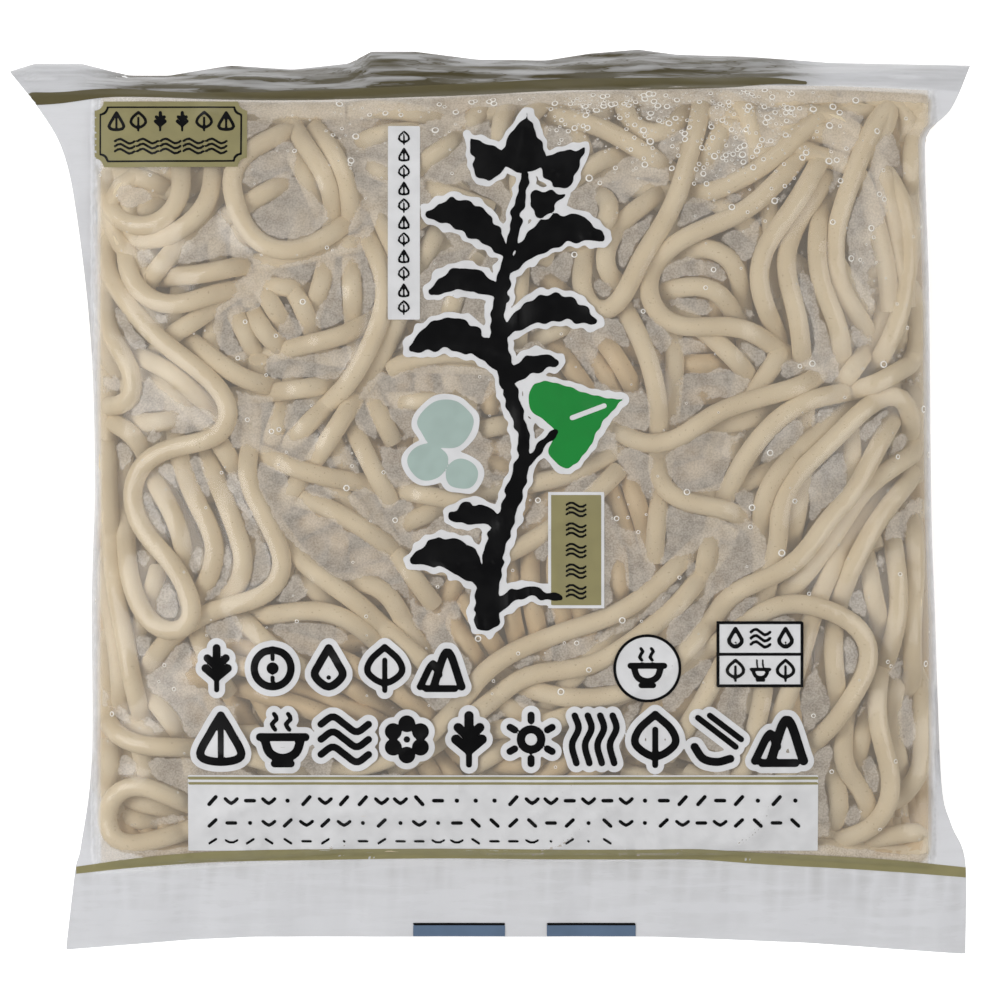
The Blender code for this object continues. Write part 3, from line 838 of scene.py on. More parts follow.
def bag_places(columns, rows, low_rows, high_rows):
    """The x and y of a grid over the whole bag, with so many rows in the body and in each seal."""
    u = rounded_steps(columns)
    x = bag_low.x + (bag_high.x - bag_low.x) * u
    in_body = rounded_steps(rows)[:, None]
    in_bottom = np.linspace(0, 1, low_rows + 1)[:-1, None]
    in_top = np.linspace(0, 1, high_rows + 1)[1:, None]
    y = np.vstack([
        bottom_edge(x) + (bottom_seam(x) - bottom_edge(x)) * in_bottom,
        bottom_seam(x) + (top_seam(x) - bottom_seam(x)) * in_body,
        top_seam(x) + (top_edge(x) - top_seam(x)) * in_top,
    ])
    return left_edge(y) + (right_edge(y) - left_edge(y)) * u, y


def noodle_tops(lines):
    """The height of the highest noodle over each grid cell."""
    dx, dy, dome = footprint(NOODLE_WIDTH / 2 * FILM_WIDENING)
    tops = np.zeros_like(grid[0])
    for line in lines:
        rows, columns = cells_under(line, dx, dy)
        np.maximum.at(tops, (rows, columns), line[:, 2:3] + dome)
    return tops


def mean_of_neighbours(values):
    """The mean of the four cells beside each grid cell."""
    padded = np.pad(values, 1, mode="edge")
    return (padded[1:-1, :-2] + padded[1:-1, 2:] + padded[:-2, 1:-1] + padded[2:, 1:-1]) / 4


def draped(taut, tops):
    """The film's height over the grid: it is drawn down onto the noodles, and spans between them."""
    most_sag = FILM_MOST_SAG * np.clip(SAG_RISE * fullness(*grid), 0, 1)
    lowest = np.maximum(tops + FILM_CLEARANCE, taut - most_sag)
    highest = np.maximum(taut, lowest)
    film = highest.copy()
    for _ in range(FILM_PASSES):
        film = np.clip(mean_of_neighbours(film) - FILM_PRESSURE, lowest, highest)
    return film


def sampled(values, x, y):
    """The grid's values at any places, read between its cells."""
    column = np.clip((x - grid_x[0]) / GRID_STEP, 0, len(grid_x) - 1.001)
    row = np.clip((y - grid_y[0]) / GRID_STEP, 0, len(grid_y) - 1.001)
    i = row.astype(int)
    j = column.astype(int)
    down = row - i
    right = column - j
    upper = values[i, j] * (1 - right) + values[i, j + 1] * right
    lower = values[i + 1, j] * (1 - right) + values[i + 1, j + 1] * right
    return upper * (1 - down) + lower * down


def pleats(random, along, away, count, length, width, height):
    """Ridges that start at an edge, where away is 0, and run out into the film beside it."""
    total = np.zeros_like(along)
    for _ in range(count):
        start = random.uniform(along.min(), along.max())
        slant = random.normal(0, PLEAT_SLANT)
        reach = length * random.uniform(*PLEAT_LENGTHS)
        thickness = width * random.uniform(*PLEAT_WIDTHS)
        fade = np.clip(1 - away / reach, 0, 1) ** 2 * (away > 0)
        ridge = np.exp(-(((along - start - slant * away) / thickness) ** 2))
        total += height * random.uniform(*PLEAT_HEIGHTS) * fade * ridge
    return total


def crumple(random, x, y, folds, apart, length):
    """Sharp folds that cross at flat angles: each a rising and falling pair of slopes."""
    total = np.zeros_like(x)
    for _ in range(folds):
        phase = x / (length * random.uniform(*FOLD_LENGTHS)) * random.choice([-1, 1])
        phase += y / (apart * random.uniform(*FOLD_WIDTHS)) + random.random()
        total += np.abs(2 * (phase % 1) - 1) - 0.5
    return total / np.sqrt(folds)


def weld_form(x, y):
    """How far the welded films stand out of their smooth droop, the same on front and back."""
    random = np.random.default_rng(FILM_SEED)
    low, high = seal_shares(x, y)
    flap = crumple(random, x, y, *FLAP_FOLDS) + crumple(random, x, y, *FLAP_WRINKLES) / 2
    ripples = crumple(random, y, x, *BOTTOM_FOLDS)
    return FLAP_HEIGHT * flap * np.sqrt(high) + BOTTOM_FOLD_HEIGHT * ripples * np.sqrt(low)


def front_pleats(x, y):
    """The pleats that run from the welds and the sides into the front film."""
    random = np.random.default_rng(FILM_SEED + 1)
    total = pleats(random, x, top_seam(x) - y, *TOP_PLEATS)
    total += pleats(random, x, y - bottom_seam(x), *BOTTOM_PLEATS)
    total += pleats(random, y, x - left_edge(y), *SIDE_PLEATS)
    total += pleats(random, y, right_edge(y) - x, *SIDE_PLEATS)
    return total * np.clip(PLEAT_RISE * fullness(x, y), 0, 1)


def film_mesh(name, x, y, z, upward, material):
    """A grid of places as one smooth sheet of film."""
    rows, columns = x.shape
    number = np.arange(rows * columns).reshape(rows, columns)
    corners = [number[:-1, :-1], number[:-1, 1:], number[1:, 1:], number[1:, :-1]]
    faces = np.stack(corners if upward else corners[::-1], axis=-1).reshape(-1, 4)
    mesh = bpy.data.meshes.new(name)
    mesh.from_pydata(np.stack([x, y, z], axis=-1).reshape(-1, 3).tolist(), [], faces.tolist())
    mesh.shade_smooth()
    mesh.materials.append(material)
    piece = bpy.data.objects.new(name, mesh)
    bpy.context.scene.collection.objects.link(piece)
    return piece


def give(piece, name, values):
    """Stores one number for each point of a mesh."""
    piece.data.attributes.new(name, "FLOAT", "POINT").data.foreach_set("value", np.ravel(values))


def seen_through(material, body, coverage):
    """Lets the shader cover what is behind it only as far as the coverage says."""
    tree = material.node_tree
    clear = tree.nodes.new("ShaderNodeBsdfTransparent")
    mix = tree.nodes.new("ShaderNodeMixShader")
    link(coverage, mix, 0)
    tree.links.new(clear.outputs[0], mix.inputs[1])
    tree.links.new(body.outputs[0], mix.inputs[2])
    tree.links.new(mix.outputs[0], tree.nodes["Material Output"].inputs["Surface"])
    return mix


def film_material():
    """Clear where it touches a noodle, grainy grey with fog over the gaps, milky in the welds."""
    material, milky, place = new_material("clear_film")
    tree = material.node_tree
    fog = place.node("ShaderNodeAttribute", {"attribute_name": "fog"}, output="Fac")
    frost = place.node("ShaderNodeAttribute", {"attribute_name": "frost"}, output="Fac")
    shade = place.node("ShaderNodeAttribute", {"attribute_name": "shade"}, output="Fac")
    ragged = 2.0 * (place.noise(FOG_LUMPS, 3.0) - 0.5) + 1.2 * (place.noise(FOG_EDGE, 1.0) - 0.5)
    grain = place.noise(FOG_GRAIN, 1.0).eased(0.3, 0.7)
    drift = place.noise(FOG_DRIFT, 2.0).eased(0.3, 0.7)
    density = FOG_THINNEST + DRIFT_DENSITY * drift + GRAIN_DENSITY * grain
    fogged = (fog + ragged).eased(0.0, 0.6) * density
    coverage = (fogged + (frost * (1 - FILM_VEIL) + FILM_VEIL) * (1 - fogged)).clamped()
    # Painted shade and highlight of fine folds: darker crease lines, and lighter and darker bands, on the
    # milky film
    drawn_out = place.node("ShaderNodeMapping", None, {"Vector": place, "Scale": DRAWN_OUT})
    folds = drawn_out.noise(FINE_FOLDS, 3.0)
    lines = 1 - place.math("ABSOLUTE", folds - 0.5, 0.0).eased(0.0, 0.022)
    fold_shade = shade + (1.1 - shade) * (0.7 * (folds.eased(0.3, 0.7) - 0.5) - 0.25 * lines)
    shaded_milky = fold_shade.clamped().mixed(PAINTED_SHADE_COLOUR, MILKY_COLOUR)
    link(frost.eased(0.0, 0.3).mixed(FOG_COLOUR, shaded_milky), milky, "Base Color")
    milky.inputs["Roughness"].default_value = MILKY_ROUGHNESS
    milky.inputs["Specular IOR Level"].default_value = 0.0
    body = seen_through(material, milky, coverage)
    gloss = tree.nodes.new("ShaderNodeBsdfGlossy")
    gloss.inputs["Roughness"].default_value = FILM_GLOSS
    whole = tree.nodes.new("ShaderNodeMixShader")
    sheen = tree.nodes.new("ShaderNodeFresnel")
    sheen.inputs["IOR"].default_value = FILM_INDEX
    tree.links.new(sheen.outputs[0], whole.inputs[0])
    tree.links.new(body.outputs[0], whole.inputs[1])
    tree.links.new(gloss.outputs[0], whole.inputs[2])
    tree.links.new(whole.outputs[0], tree.nodes["Material Output"].inputs["Surface"])
    return material


clear_film = film_material()
tops = noodle_tops(front_lines)
taut = front_height(*grid)
film_heights = draped(taut, tops)

film_x, film_y = bag_places(FILM_COLUMNS, FILM_ROWS, BOTTOM_SEAL_ROWS, TOP_SEAL_ROWS)
full = fullness(film_x, film_y)
film_z = front_height(film_x, film_y) - WEB_TRIM * (1 - smooth_share(full, 0, TRIM_FULLNESS))
film_z += sampled(film_heights - taut, film_x, film_y)
film_z += weld_form(film_x, film_y) + np.maximum(front_pleats(film_x, film_y), 0)
film_front = film_mesh("film_front", film_x, film_y, film_z, True, clear_film)

# Where the moisture gathers: the middle, the reach and the share of each foggy stretch
FOGGED = [(570, 530, 150, 1), (405, 200, 90, 1), (315, 500, 90, 1), (620, 380, 70, 1),
          (740, 120, 70, 1), (450, 400, 80, 1)]
# Gaps between film and noodles, in millimetres, from which fog shows in clear and in foggy stretches
CLEAR_GAP = 3.4
FOGGED_GAP = 1.8
DEEPEST_GAP = 0.006
FOG_PASSES = 8
FOG_PATCHES = (12, 0.017, 0.02)
PATCH_DEPTH = 0.9
EMPTY_TOPS = (0.001, 0.003)
DENSE_FOG = 4
NO_FOG = 9
WELD_ONSET = 12
SIDE_STRIP = 0.0016
END_STRIP = (0.0015, 0.0035)
WELD_FROST = 0.84
FLAP_FROST = 0.13
STRIP_SHEEN = 0.8
# How much darker each feature makes the milky film: painted shade along the flap's streaks, the bottom
# seal's ripples and the side strips, and a darker crimped line across the bottom seal
STREAK_SHADE = 0.12
RIPPLE_SHADE = 0.25
CRIMP_SHADE = 0.03
STRIP_SHADE = 0.14
# The stretch of the flap painted dark as shade: where it comes in and where it goes out
DARK_IN = (60, 150)
DARK_OUT = (760, 840)
FLAP_STREAKS = (9, 0.0014, 0.03)
STREAK_DEPTH = 1.3
SEAL_RIPPLES = (6, 0.006, 0.05)
# The flap's painted shade: how pale it is at its seam, what it gains up to its free edge, and what a streak
# adds, painted highlight where it rises and painted shade where it falls
FLAP_AT_SEAM = 0.06
FLAP_GAIN = 0.42
FLAP_POWER = 1.5
FLAP_STREAK = 0.3
# The crimped line across the bottom seal: its place and half its width
CRIMP_PLACE = 0.42
CRIMP_HALF = 0.03


def near_places(places, least):
    """How near each point of the front film is to one of the places, as far as that one reaches."""
    nearness = np.full(film_x.shape, least)
    for x, y, reach, share in places:
        squared = (photo_x - x) ** 2 + (photo_y - y) ** 2
        nearness = np.maximum(nearness, share * np.exp(-squared / reach**2))
    return nearness


photo_x, photo_y = pixels(film_x, film_y)
depth = np.clip(film_heights - tops, 0, DEEPEST_GAP)
gap = 1000 * sampled(depth, film_x, film_y)
for _ in range(FOG_PASSES):
    depth = mean_of_neighbours(depth)
patches = crumple(random, film_x, film_y, *FOG_PATCHES)
empty = 1 - smooth_share(sampled(tops, film_x, film_y), *EMPTY_TOPS)
fog = 1000 * sampled(depth, film_x, film_y) - CLEAR_GAP + PATCH_DEPTH * patches
fog += (CLEAR_GAP - FOGGED_GAP) * near_places(FOGGED, 0.0)
low_share, high_share = seal_shares(film_x, film_y)
welded = np.clip(WELD_ONSET * np.maximum(low_share, high_share), 0, 1)
left_wall, right_wall, low_wall, high_wall = walls(film_x, film_y)
from_side = np.minimum(film_x - left_wall, right_wall - film_x)
from_end = np.minimum(film_y - low_wall, high_wall - film_y)
side_strip = 1 - smooth_share(from_side, 0, SIDE_STRIP)
end_strip = (1 - smooth_share(from_end, *END_STRIP)) * (1 - welded)
# The shade attribute paints shade on the milky film: on the flap's folded-over stretch and along its
# streaks, which also paint highlights, on the bottom seal's ripples and on the side strips. It also holds
# the darker crimped line across the bottom seal
streaks = crumple(random, film_x, film_y, *FLAP_STREAKS) * STREAK_DEPTH
ripples = crumple(random, film_y, film_x, *SEAL_RIPPLES)
dark_flap = smooth_share(photo_x, *DARK_IN) * (1 - smooth_share(photo_x, *DARK_OUT)) * (high_share > 0)
flap_shade = np.clip(FLAP_GAIN * high_share**FLAP_POWER + FLAP_STREAK * streaks + FLAP_AT_SEAM, 0, 1)
shade = 1 - dark_flap * (1 - flap_shade) - STREAK_SHADE * (high_share > 0) * np.abs(streaks)
shade -= RIPPLE_SHADE * np.abs(ripples) * (low_share > 0) * (1 - low_share)
shade -= CRIMP_SHADE * np.exp(-(((low_share - CRIMP_PLACE) / CRIMP_HALF) ** 2))
shade -= STRIP_SHADE * side_strip * (1 - welded) * (full > 0)
fog = fog * (1 - side_strip) * (1 - welded) + DENSE_FOG * np.maximum(end_strip, empty)
fog -= NO_FOG * np.maximum(side_strip, welded)
give(film_front, "fog", fog)
# The welds are frosted. The side strips, where the film turns down edge-on to the camera, get a painted
# milky sheen, which their painted shade makes greyer
frost = np.maximum((WELD_FROST + FLAP_FROST * dark_flap) * welded, STRIP_SHEEN * side_strip)
give(film_front, "frost", frost)
give(film_front, "shade", shade)

# How full the bag is where the fog comes in on its back, and where the milky edge ends
BACK_FOGGED = (0.5, 0.8)
BACK_FROSTED = (0.1, 0.5)
BACK_FROST = 0.5

back_x, back_y = bag_places(BACK_COLUMNS, BACK_ROWS, BACK_LOW_ROWS, BACK_HIGH_ROWS)
back_full = fullness(back_x, back_y)
back_z = back_height(back_x, back_y) + WEB_TRIM * (1 - back_full) + weld_form(back_x, back_y)
film_back = film_mesh("film_back", back_x, back_y, np.maximum(back_z, 0), False, clear_film)
give(film_back, "fog", 2 * smooth_share(back_full, *BACK_FOGGED) - 1)
give(film_back, "frost", BACK_FROST * (1 - smooth_share(back_full, *BACK_FROSTED)))
give(film_back, "shade", np.ones_like(back_z))

for piece in (film_front, film_back):
    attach(piece, "root")
    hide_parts("noodle_bag")
    piece.visible_shadow = False


# The print
# Inks under the film's gloss: a brushed buckwheat sprig with a white edge, rows of small pictures
# from field and kitchen, a white panel, and a band of olive gold along each weld.

INK_STEP = 1.5
STROKE_STEP = 3.0
FAR_OUT = 99.0
HALO = 6.0
MARGIN = 18.0
OVERLAP = 3.0
BRUSH_WAVES = 6
BRUSH_WAVE_SIZES = (0.6, 1.6)
WHITE_LIFT = 0.00006
COLOUR_LIFT = 0.00009
BLACK_LIFT = 0.00012
INK_ROUGHNESS = 0.35
INK_SHEEN = 0.1
INK_CLOUDS = 0.0025
# What thinner ink keeps of its colour, and what it gains from what is behind it
THINNER_INK = (0.92, 0.003)
WHITE_INK = (0.79, 0.79, 0.80)
BLACK_INK = (0.0035, 0.0035, 0.004)
GREEN_INK = (0.02, 0.26, 0.05)
PALE_GREEN_INK = (0.42, 0.53, 0.49)
GOLD_INK = (0.125, 0.107, 0.053)
PALE_GOLD_INK = (0.31, 0.28, 0.14)
BLUE_INK = (0.135, 0.198, 0.297)

# Leaf and grain outlines, from the tip round to the tip again, for a size of 1
LEAF = [(0, -1), (0.28, -0.5), (0.72, 0.05), (0.84, 0.42), (0.5, 0.62), (0.08, 0.4), (-0.36, 0.66),
        (-0.8, 0.5), (-0.72, 0.1), (-0.3, -0.46)]
GRAIN = [(0, -1), (0.3, -0.5), (0.66, 0.2), (0.6, 0.62), (0, 0.8), (-0.6, 0.62), (-0.66, 0.2), (-0.3, -0.5)]

# Small pictures as brush strokes, each a width and its points, in a square of 10 by 10
ROUND = [(np.sin(turn), -np.cos(turn)) for turn in np.linspace(0, 2 * np.pi, 13)]


def ring(width, radius):
    """A circle round the middle of a small picture, as one brush stroke."""
    return width, [(5 + radius * x, 5 + radius * y) for x, y in ROUND]


PICTURES = {
    "bowl": [(1.5, [(0.8, 4.6), (9.2, 4.6)]), (0.8, [(3.6, 3.2), (3, 2.2), (3.9, 1.2), (3.4, 0.3)]),
             (1.6, [(1.6, 4.8), (2.6, 7.5), (5, 8.5), (7.4, 7.5), (8.4, 4.8)]),
             (1.4, [(3.5, 9.5), (6.5, 9.5)]), (0.8, [(6.2, 3.2), (5.6, 2.2), (6.5, 1.2), (6, 0.3)])],
    "sheaf": [(1.1, [(5, 9.7), (5, 2)]), (1.8, [(5, 7), (2.6, 5)]), (1.8, [(5, 7), (7.4, 5)]),
              (1.7, [(5, 4.7), (3, 2.8)]), (1.7, [(5, 4.7), (7, 2.8)]), (1.7, [(5, 2.4), (5, 0.6)])],
    "waves": [(1.3, [(0.6, y), (2.8, y - 1.4), (5, y), (7.2, y + 1.4), (9.4, y)]) for y in (2.2, 5, 7.8)],
    "hills": [(1.5, [(0.5, 9), (3.2, 4), (4.6, 6.4)]), (1.7, [(3.4, 9), (6.4, 1.4), (9.5, 9)]),
              (1.5, [(1.8, 9.4), (8, 9.4)])],
    "grain": [(1.5, [(5, 0.6), (3.2, 3.6), (1.2, 8), (5, 9.2), (8.8, 8), (6.8, 3.6), (5, 0.6)]),
              (1.1, [(5, 2.4), (5, 8.8)])],
    "leaf": [(1.4, [(5, 0.4), (2, 3.2), (1.4, 6), (5, 8.2), (8.6, 6), (8, 3.2), (5, 0.4)]),
             (1.1, [(5, 9.8), (5, 3.2)])],
    "blossom": [(3.1, [(5 + 2.9 * x, 5 + 2.9 * y)]) for x, y in ROUND[:-1:2]] + [(1.2, [(5, 5)])],
    "strands": [(1.2, [(x, 0.6), (x + 0.7, 3), (x - 0.5, 6), (x + 0.3, 9.4)]) for x in (1.6, 4, 6.3, 8.6)],
    "millstone": [ring(1.6, 4), (2.6, [(5, 5)]), (0.9, [(5, 2.2), (5, 3)]), (0.9, [(5, 7), (5, 7.8)])],
    "sun": [ring(1.5, 1.9)] + [(1.3, [(5 + 3.5 * x, 5 + 3.5 * y), (5 + 4.5 * x, 5 + 4.5 * y)])
                               for x, y in ROUND[:-1:2]],
    "drop": [(1.7, [(5, 0.6), (3, 4), (2, 6.6), (5, 9), (8, 6.6), (7, 4), (5, 0.6)]), (1.0, [(5, 7)])],
    "sticks": [(1.1, [(1.4, 1), (8.4, 6.4)]), (1.1, [(3.6, 0.6), (9.4, 5)]),
               (1.5, [(0.8, 6.4), (2.4, 8.6), (5, 9.2), (7.4, 8.6)])],
}
UPPER_ROW = ["sheaf", "millstone", "drop", "leaf", "hills"]
LOWER_ROW = ["grain", "bowl", "waves", "blossom", "sheaf", "sun", "strands", "leaf", "sticks", "hills"]
SMALL_MARKS = [[(2.2, [(3, 7), (7, 3)])], [(2.6, [(5, 5)])], [(2.2, [(2.5, 5), (7.5, 5)])],
               [(2.0, [(1.5, 4), (5, 6.5), (8.5, 4)])], [(2.2, [(3, 3), (7, 7)])]]


def stroke(points, widths):
    """A shape, as a function that says how far a place is outside it, and its corners.

    This one is a brush stroke along a line, with widths spread evenly along it.
    """
    points = np.asarray(points, float)
    if len(points) > 2:
        points = smooth_line(points, STROKE_STEP)
    if len(points) == 1:
        points = points.repeat(2, axis=0)
    halves = np.interp(np.linspace(0, 1, len(points)), np.linspace(0, 1, len(widths)), widths) / 2

    def outside(x, y):
        best = np.full(x.shape, FAR_OUT)
        for start, end, half in zip(points, points[1:], halves):
            way = end - start
            share = ((x - start[0]) * way[0] + (y - start[1]) * way[1]) / max(way @ way, 1e-9)
            share = np.clip(share, 0, 1)
            apart = np.hypot(x - start[0] - share * way[0], y - start[1] - share * way[1])
            best = np.minimum(best, apart - half)
        return best

    return outside, points.min(axis=0) - max(widths), points.max(axis=0) + max(widths)


def outlined(points, place, size, tilt):
    """A shape filled inside a smooth outline, which is turned by tilt in degrees."""
    turn = np.radians(tilt)
    turned = np.asarray(points) @ [[np.cos(turn), np.sin(turn)], [-np.sin(turn), np.cos(turn)]]
    closed = np.vstack([turned, turned[:1]]) * size + place
    line = smooth_line(closed, STROKE_STEP)
    line = np.vstack([line, line[:1]])

    def outside(x, y):
        apart = from_line(x, y)
        crossed = np.zeros(x.shape, bool)
        for (x1, y1), (x2, y2) in zip(line, line[1:]):
            if y1 != y2:
                crossed ^= ((y1 > y) != (y2 > y)) & (x < (x2 - x1) * (y - y1) / (y2 - y1) + x1)
        return np.where(crossed, -apart, apart)

    from_line, low, high = stroke(closed, [0.0])
    return outside, low, high


def block(left, top, right, bottom, notch=0.0):
    """A shape: a rectangle, with its corners cut out by quarter circles if it has a notch."""
    def outside(x, y):
        dx = np.abs(x - (left + right) / 2) - (right - left) / 2
        dy = np.abs(y - (top + bottom) / 2) - (bottom - top) / 2
        flat = np.maximum(dx, dy)
        return np.maximum(flat, notch - np.hypot(dx, dy)) if notch else flat

    return outside, np.array([left, top]), np.array([right, bottom])


def oval(x0, y0, radius, squash=1.0):
    """A shape: a disc, or an oval where squash isn't 1."""
    reach = np.array([radius, radius * squash])
    return lambda x, y: np.hypot(x - x0, (y - y0) / squash) - radius, (x0, y0) - reach, (x0, y0) + reach


class Ink:
    """How far every place on the bag is outside an ink, over an even grid of photograph pixels."""

    x = np.arange(PHOTO_LEFT, PHOTO_RIGHT + INK_STEP, INK_STEP)
    y = np.arange(PHOTO_TOP, PHOTO_BOTTOM + INK_STEP, INK_STEP)

    def __init__(self):
        self.outside = np.full((len(self.y), len(self.x)), FAR_OUT)

    def near(self, low, high):
        """The part of the grid between two corners, with a margin round it."""
        columns = slice(*np.searchsorted(self.x, (low[0] - MARGIN, high[0] + MARGIN)))
        rows = slice(*np.searchsorted(self.y, (low[1] - MARGIN, high[1] + MARGIN)))
        return self.outside[rows, columns], np.meshgrid(self.x[columns], self.y[rows])

    def add(self, shape):
        """Prints a shape."""
        outside, low, high = shape
        part, places = self.near(low, high)
        np.minimum(part, outside(*places), out=part)

    def cut(self, shape):
        """Takes a shape out of what is printed so far."""
        outside, low, high = shape
        part, places = self.near(low, high)
        np.maximum(part, -outside(*places), out=part)

    def brush(self, random, amount, size):
        """Makes the outlines so far uneven, like the edges of brush strokes."""
        x, y = np.meshgrid(self.x, self.y)
        for _ in range(BRUSH_WAVES):
            turn = random.uniform(0, 2 * np.pi)
            length = size * random.uniform(*BRUSH_WAVE_SIZES)
            wave = (x * np.cos(turn) + y * np.sin(turn)) / length
            self.outside += amount * np.sin(2 * np.pi * (wave + random.random())) / 2

    def picture(self, strokes, left, top, width, height):
        """Prints a small picture, drawn to fill the given rectangle."""
        for size, points in strokes:
            places = [(left + width * x / 10, top + height * y / 10) for x, y in points]
            self.add(stroke(places, [size * min(width, height) / 10]))

    def row(self, names, start, step, size):
        """Prints pictures in a row: the first one's place, the step to the next, and their size."""
        for k, name in enumerate(names):
            self.picture(PICTURES[name], start[0] + k * step[0], start[1] + k * step[1], *size)

    def triangles(self):
        """The ink's triangles, as places in the photograph, cut along its outline."""
        x, y = np.meshgrid(self.x, self.y)
        corner = np.stack([x, y, self.outside], axis=-1)
        a, b, c, d = corner[:-1, :-1], corner[:-1, 1:], corner[1:, 1:], corner[1:, :-1]
        upper = np.stack([a, b, c], axis=2).reshape(-1, 3, 3)
        lower = np.stack([a, c, d], axis=2).reshape(-1, 3, 3)
        whole = np.concatenate([upper, lower])
        inside = whole[:, :, 2] < 0
        count = inside.sum(axis=1)
        kept = [whole[count == 3]]
        for number, odd_one_in in ((1, True), (2, False)):
            cut = whole[count == number]
            first = (inside[count == number] == odd_one_in).argmax(axis=1)
            order = (first[:, None] + np.arange(3)) % 3
            a, b, c = np.take_along_axis(cut, order[:, :, None], axis=1).swapaxes(0, 1)
            to_b = a + (b - a) * (a[:, 2:] / (a[:, 2:] - b[:, 2:]))
            to_c = a + (c - a) * (a[:, 2:] / (a[:, 2:] - c[:, 2:]))
            if odd_one_in:
                kept.append(np.stack([a, to_b, to_c], axis=1))
            else:
                kept.append(np.stack([to_b, b, c], axis=1))
                kept.append(np.stack([to_b, c, to_c], axis=1))
        return np.concatenate(kept)[:, :, :2]


def ink_material(name, colour):
    """Printing ink under glossy film: nearly even, with faint clouds where it is thinner."""
    material, shader, place = new_material(name)
    clouds = place.noise(INK_CLOUDS, 1.0).eased(0.3, 0.8)
    thinner = tuple(THINNER_INK[0] * part + THINNER_INK[1] for part in colour)
    link(clouds.mixed(colour, thinner), shader, "Base Color")
    shader.inputs["Roughness"].default_value = INK_ROUGHNESS
    shader.inputs["Specular IOR Level"].default_value = INK_SHEEN
    return material


def printed(name, ink, lift, colour):
    """The ink as a thin sheet that lies on the front film, lifted a little off it."""
    triangles = metres(ink.triangles()).reshape(-1, 2)
    places, corners = np.unique(np.round(triangles, 8), axis=0, return_inverse=True)
    down = Vector((0, 0, -1))
    hits = [film_tree.ray_cast((x, y, 2 * PACK_HEIGHT), down)[0] for x, y in places]
    found = np.array([hit is not None for hit in hits])
    heights = np.array([hit.z if hit else 0.0 for hit in hits])
    faces = corners.reshape(-1, 3)[:, ::-1]
    faces = faces[found[faces].all(axis=1)]
    mesh = bpy.data.meshes.new(name)
    mesh.from_pydata(np.column_stack([places, heights + lift]).tolist(), [], faces.tolist())
    mesh.validate()
    mesh.shade_smooth()
    mesh.materials.append(ink_material(name, colour))
    piece = bpy.data.objects.new(name, mesh)
    bpy.context.scene.collection.objects.link(piece)
    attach(piece, "root")
    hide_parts("noodle_bag")


black = Ink()
white = Ink()
green = Ink()
pale_green = Ink()
gold = Ink()
pale_gold = Ink()
blue = Ink()

# The brushed sprig and the rows of pictures, which have a white edge
STEM = [(486, 618), (492, 560), (512, 500), (524, 446), (508, 384), (498, 320), (510, 250), (526, 176)]
STEM_WIDTHS = [25, 19, 12, 16, 12, 8]
TWIGS = [([(496, 606), (524, 592), (560, 598)], [15, 6]), ([(520, 470), (540, 448), (556, 432)], [9, 6])]
LEAF_STROKES = [
    ([(508, 256), (486, 232), (460, 214), (430, 214)], [8, 20, 31, 27, 5]),
    ([(506, 300), (482, 284), (456, 280), (432, 292)], [7, 16, 24, 19, 4]),
    ([(500, 368), (476, 344), (446, 334), (412, 348)], [8, 20, 33, 27, 5]),
    ([(504, 528), (480, 514), (452, 516)], [7, 17, 21, 5]),
    ([(492, 596), (470, 566), (444, 552), (414, 560)], [8, 20, 33, 27, 5]),
    ([(508, 272), (536, 242), (568, 228), (602, 238)], [8, 20, 31, 26, 5]),
    ([(502, 336), (530, 314), (562, 308), (594, 322)], [7, 17, 28, 22, 4]),
    ([(504, 388), (528, 366), (556, 362)], [6, 16, 19, 4]),
]
GRAINS = [((524, 146), 33, 6), ((486, 158), 26, -38), ((564, 166), 27, 48), ((546, 202), 20, 70)]
GREEN_LEAF = ((572, 418), 54, 70)
LEAF_VEIN = [(572, 418), (604, 406)]
PALE_GRAINS = [(446, 424, 27), (428, 462, 20), (462, 474, 17)]
PALE_GRAIN_SQUASH = 0.9
LEAF_VEIN_WIDTHS = [5.0, 2.0]
# For each row of pictures: the first one's corner, the step to the next and their size
UPPER_ROW_AT = [(194, 645), (56, 0), (46, 46)]
LOWER_ROW_AT = [(194, 712), (62, 0), (54, 54)]
# How uneven a brushed edge is, and how long its waves are, in pixels
BLACK_BRUSH = (1.1, 14)
GREEN_BRUSH = (0.8, 18)
PALE_BRUSH = (0.8, 22)
black.add(stroke(STEM, STEM_WIDTHS))
for points, widths in TWIGS + LEAF_STROKES:
    black.add(stroke(points, widths))
for middle, size, tilt in GRAINS:
    black.add(outlined(GRAIN, middle, size, tilt))
brush_random = np.random.default_rng(FILM_SEED)
black.brush(brush_random, *BLACK_BRUSH)
black.row(UPPER_ROW, *UPPER_ROW_AT)
black.row(LOWER_ROW, *LOWER_ROW_AT)
green.add(outlined(LEAF, *GREEN_LEAF))
green.brush(brush_random, *GREEN_BRUSH)
for x0, y0, radius in PALE_GRAINS:
    pale_green.add(oval(x0, y0, radius, PALE_GRAIN_SQUASH))
pale_green.brush(brush_random, *PALE_BRUSH)
white.outside = np.min([black.outside, green.outside, pale_green.outside], axis=0) - HALO
green.cut(stroke(LEAF_VEIN, LEAF_VEIN_WIDTHS))

# The upright strip, the upright label and the plaque in the corner: left, top, right and bottom
STRIP = (388, 126, 420, 320)
LABEL = (548, 492, 604, 608)
LABEL_EDGE = 3
PLAQUE = (94, 101, 247, 167)
PLAQUE_NOTCH = 9
PLAQUE_LINE = 5
PLAQUE_LINE_WIDTH = 1.8
PLAQUE_LINE_NOTCH = 7
STRIP_ROW_AT = [(397, 131), (0, 17), (14, 14)]
LABEL_ROW_AT = [(565, 501), (0, 20.5), (22, 17)]
PLAQUE_ROW_AT = [(106, 111), (22, 0), (20, 20)]
PLAQUE_WAVES_AT = [(113, 137), (23, 0), (23, 18)]


def inset(box, by):
    """A rectangle drawn in from another on every side."""
    return box[0] + by, box[1] + by, box[2] - by, box[3] - by


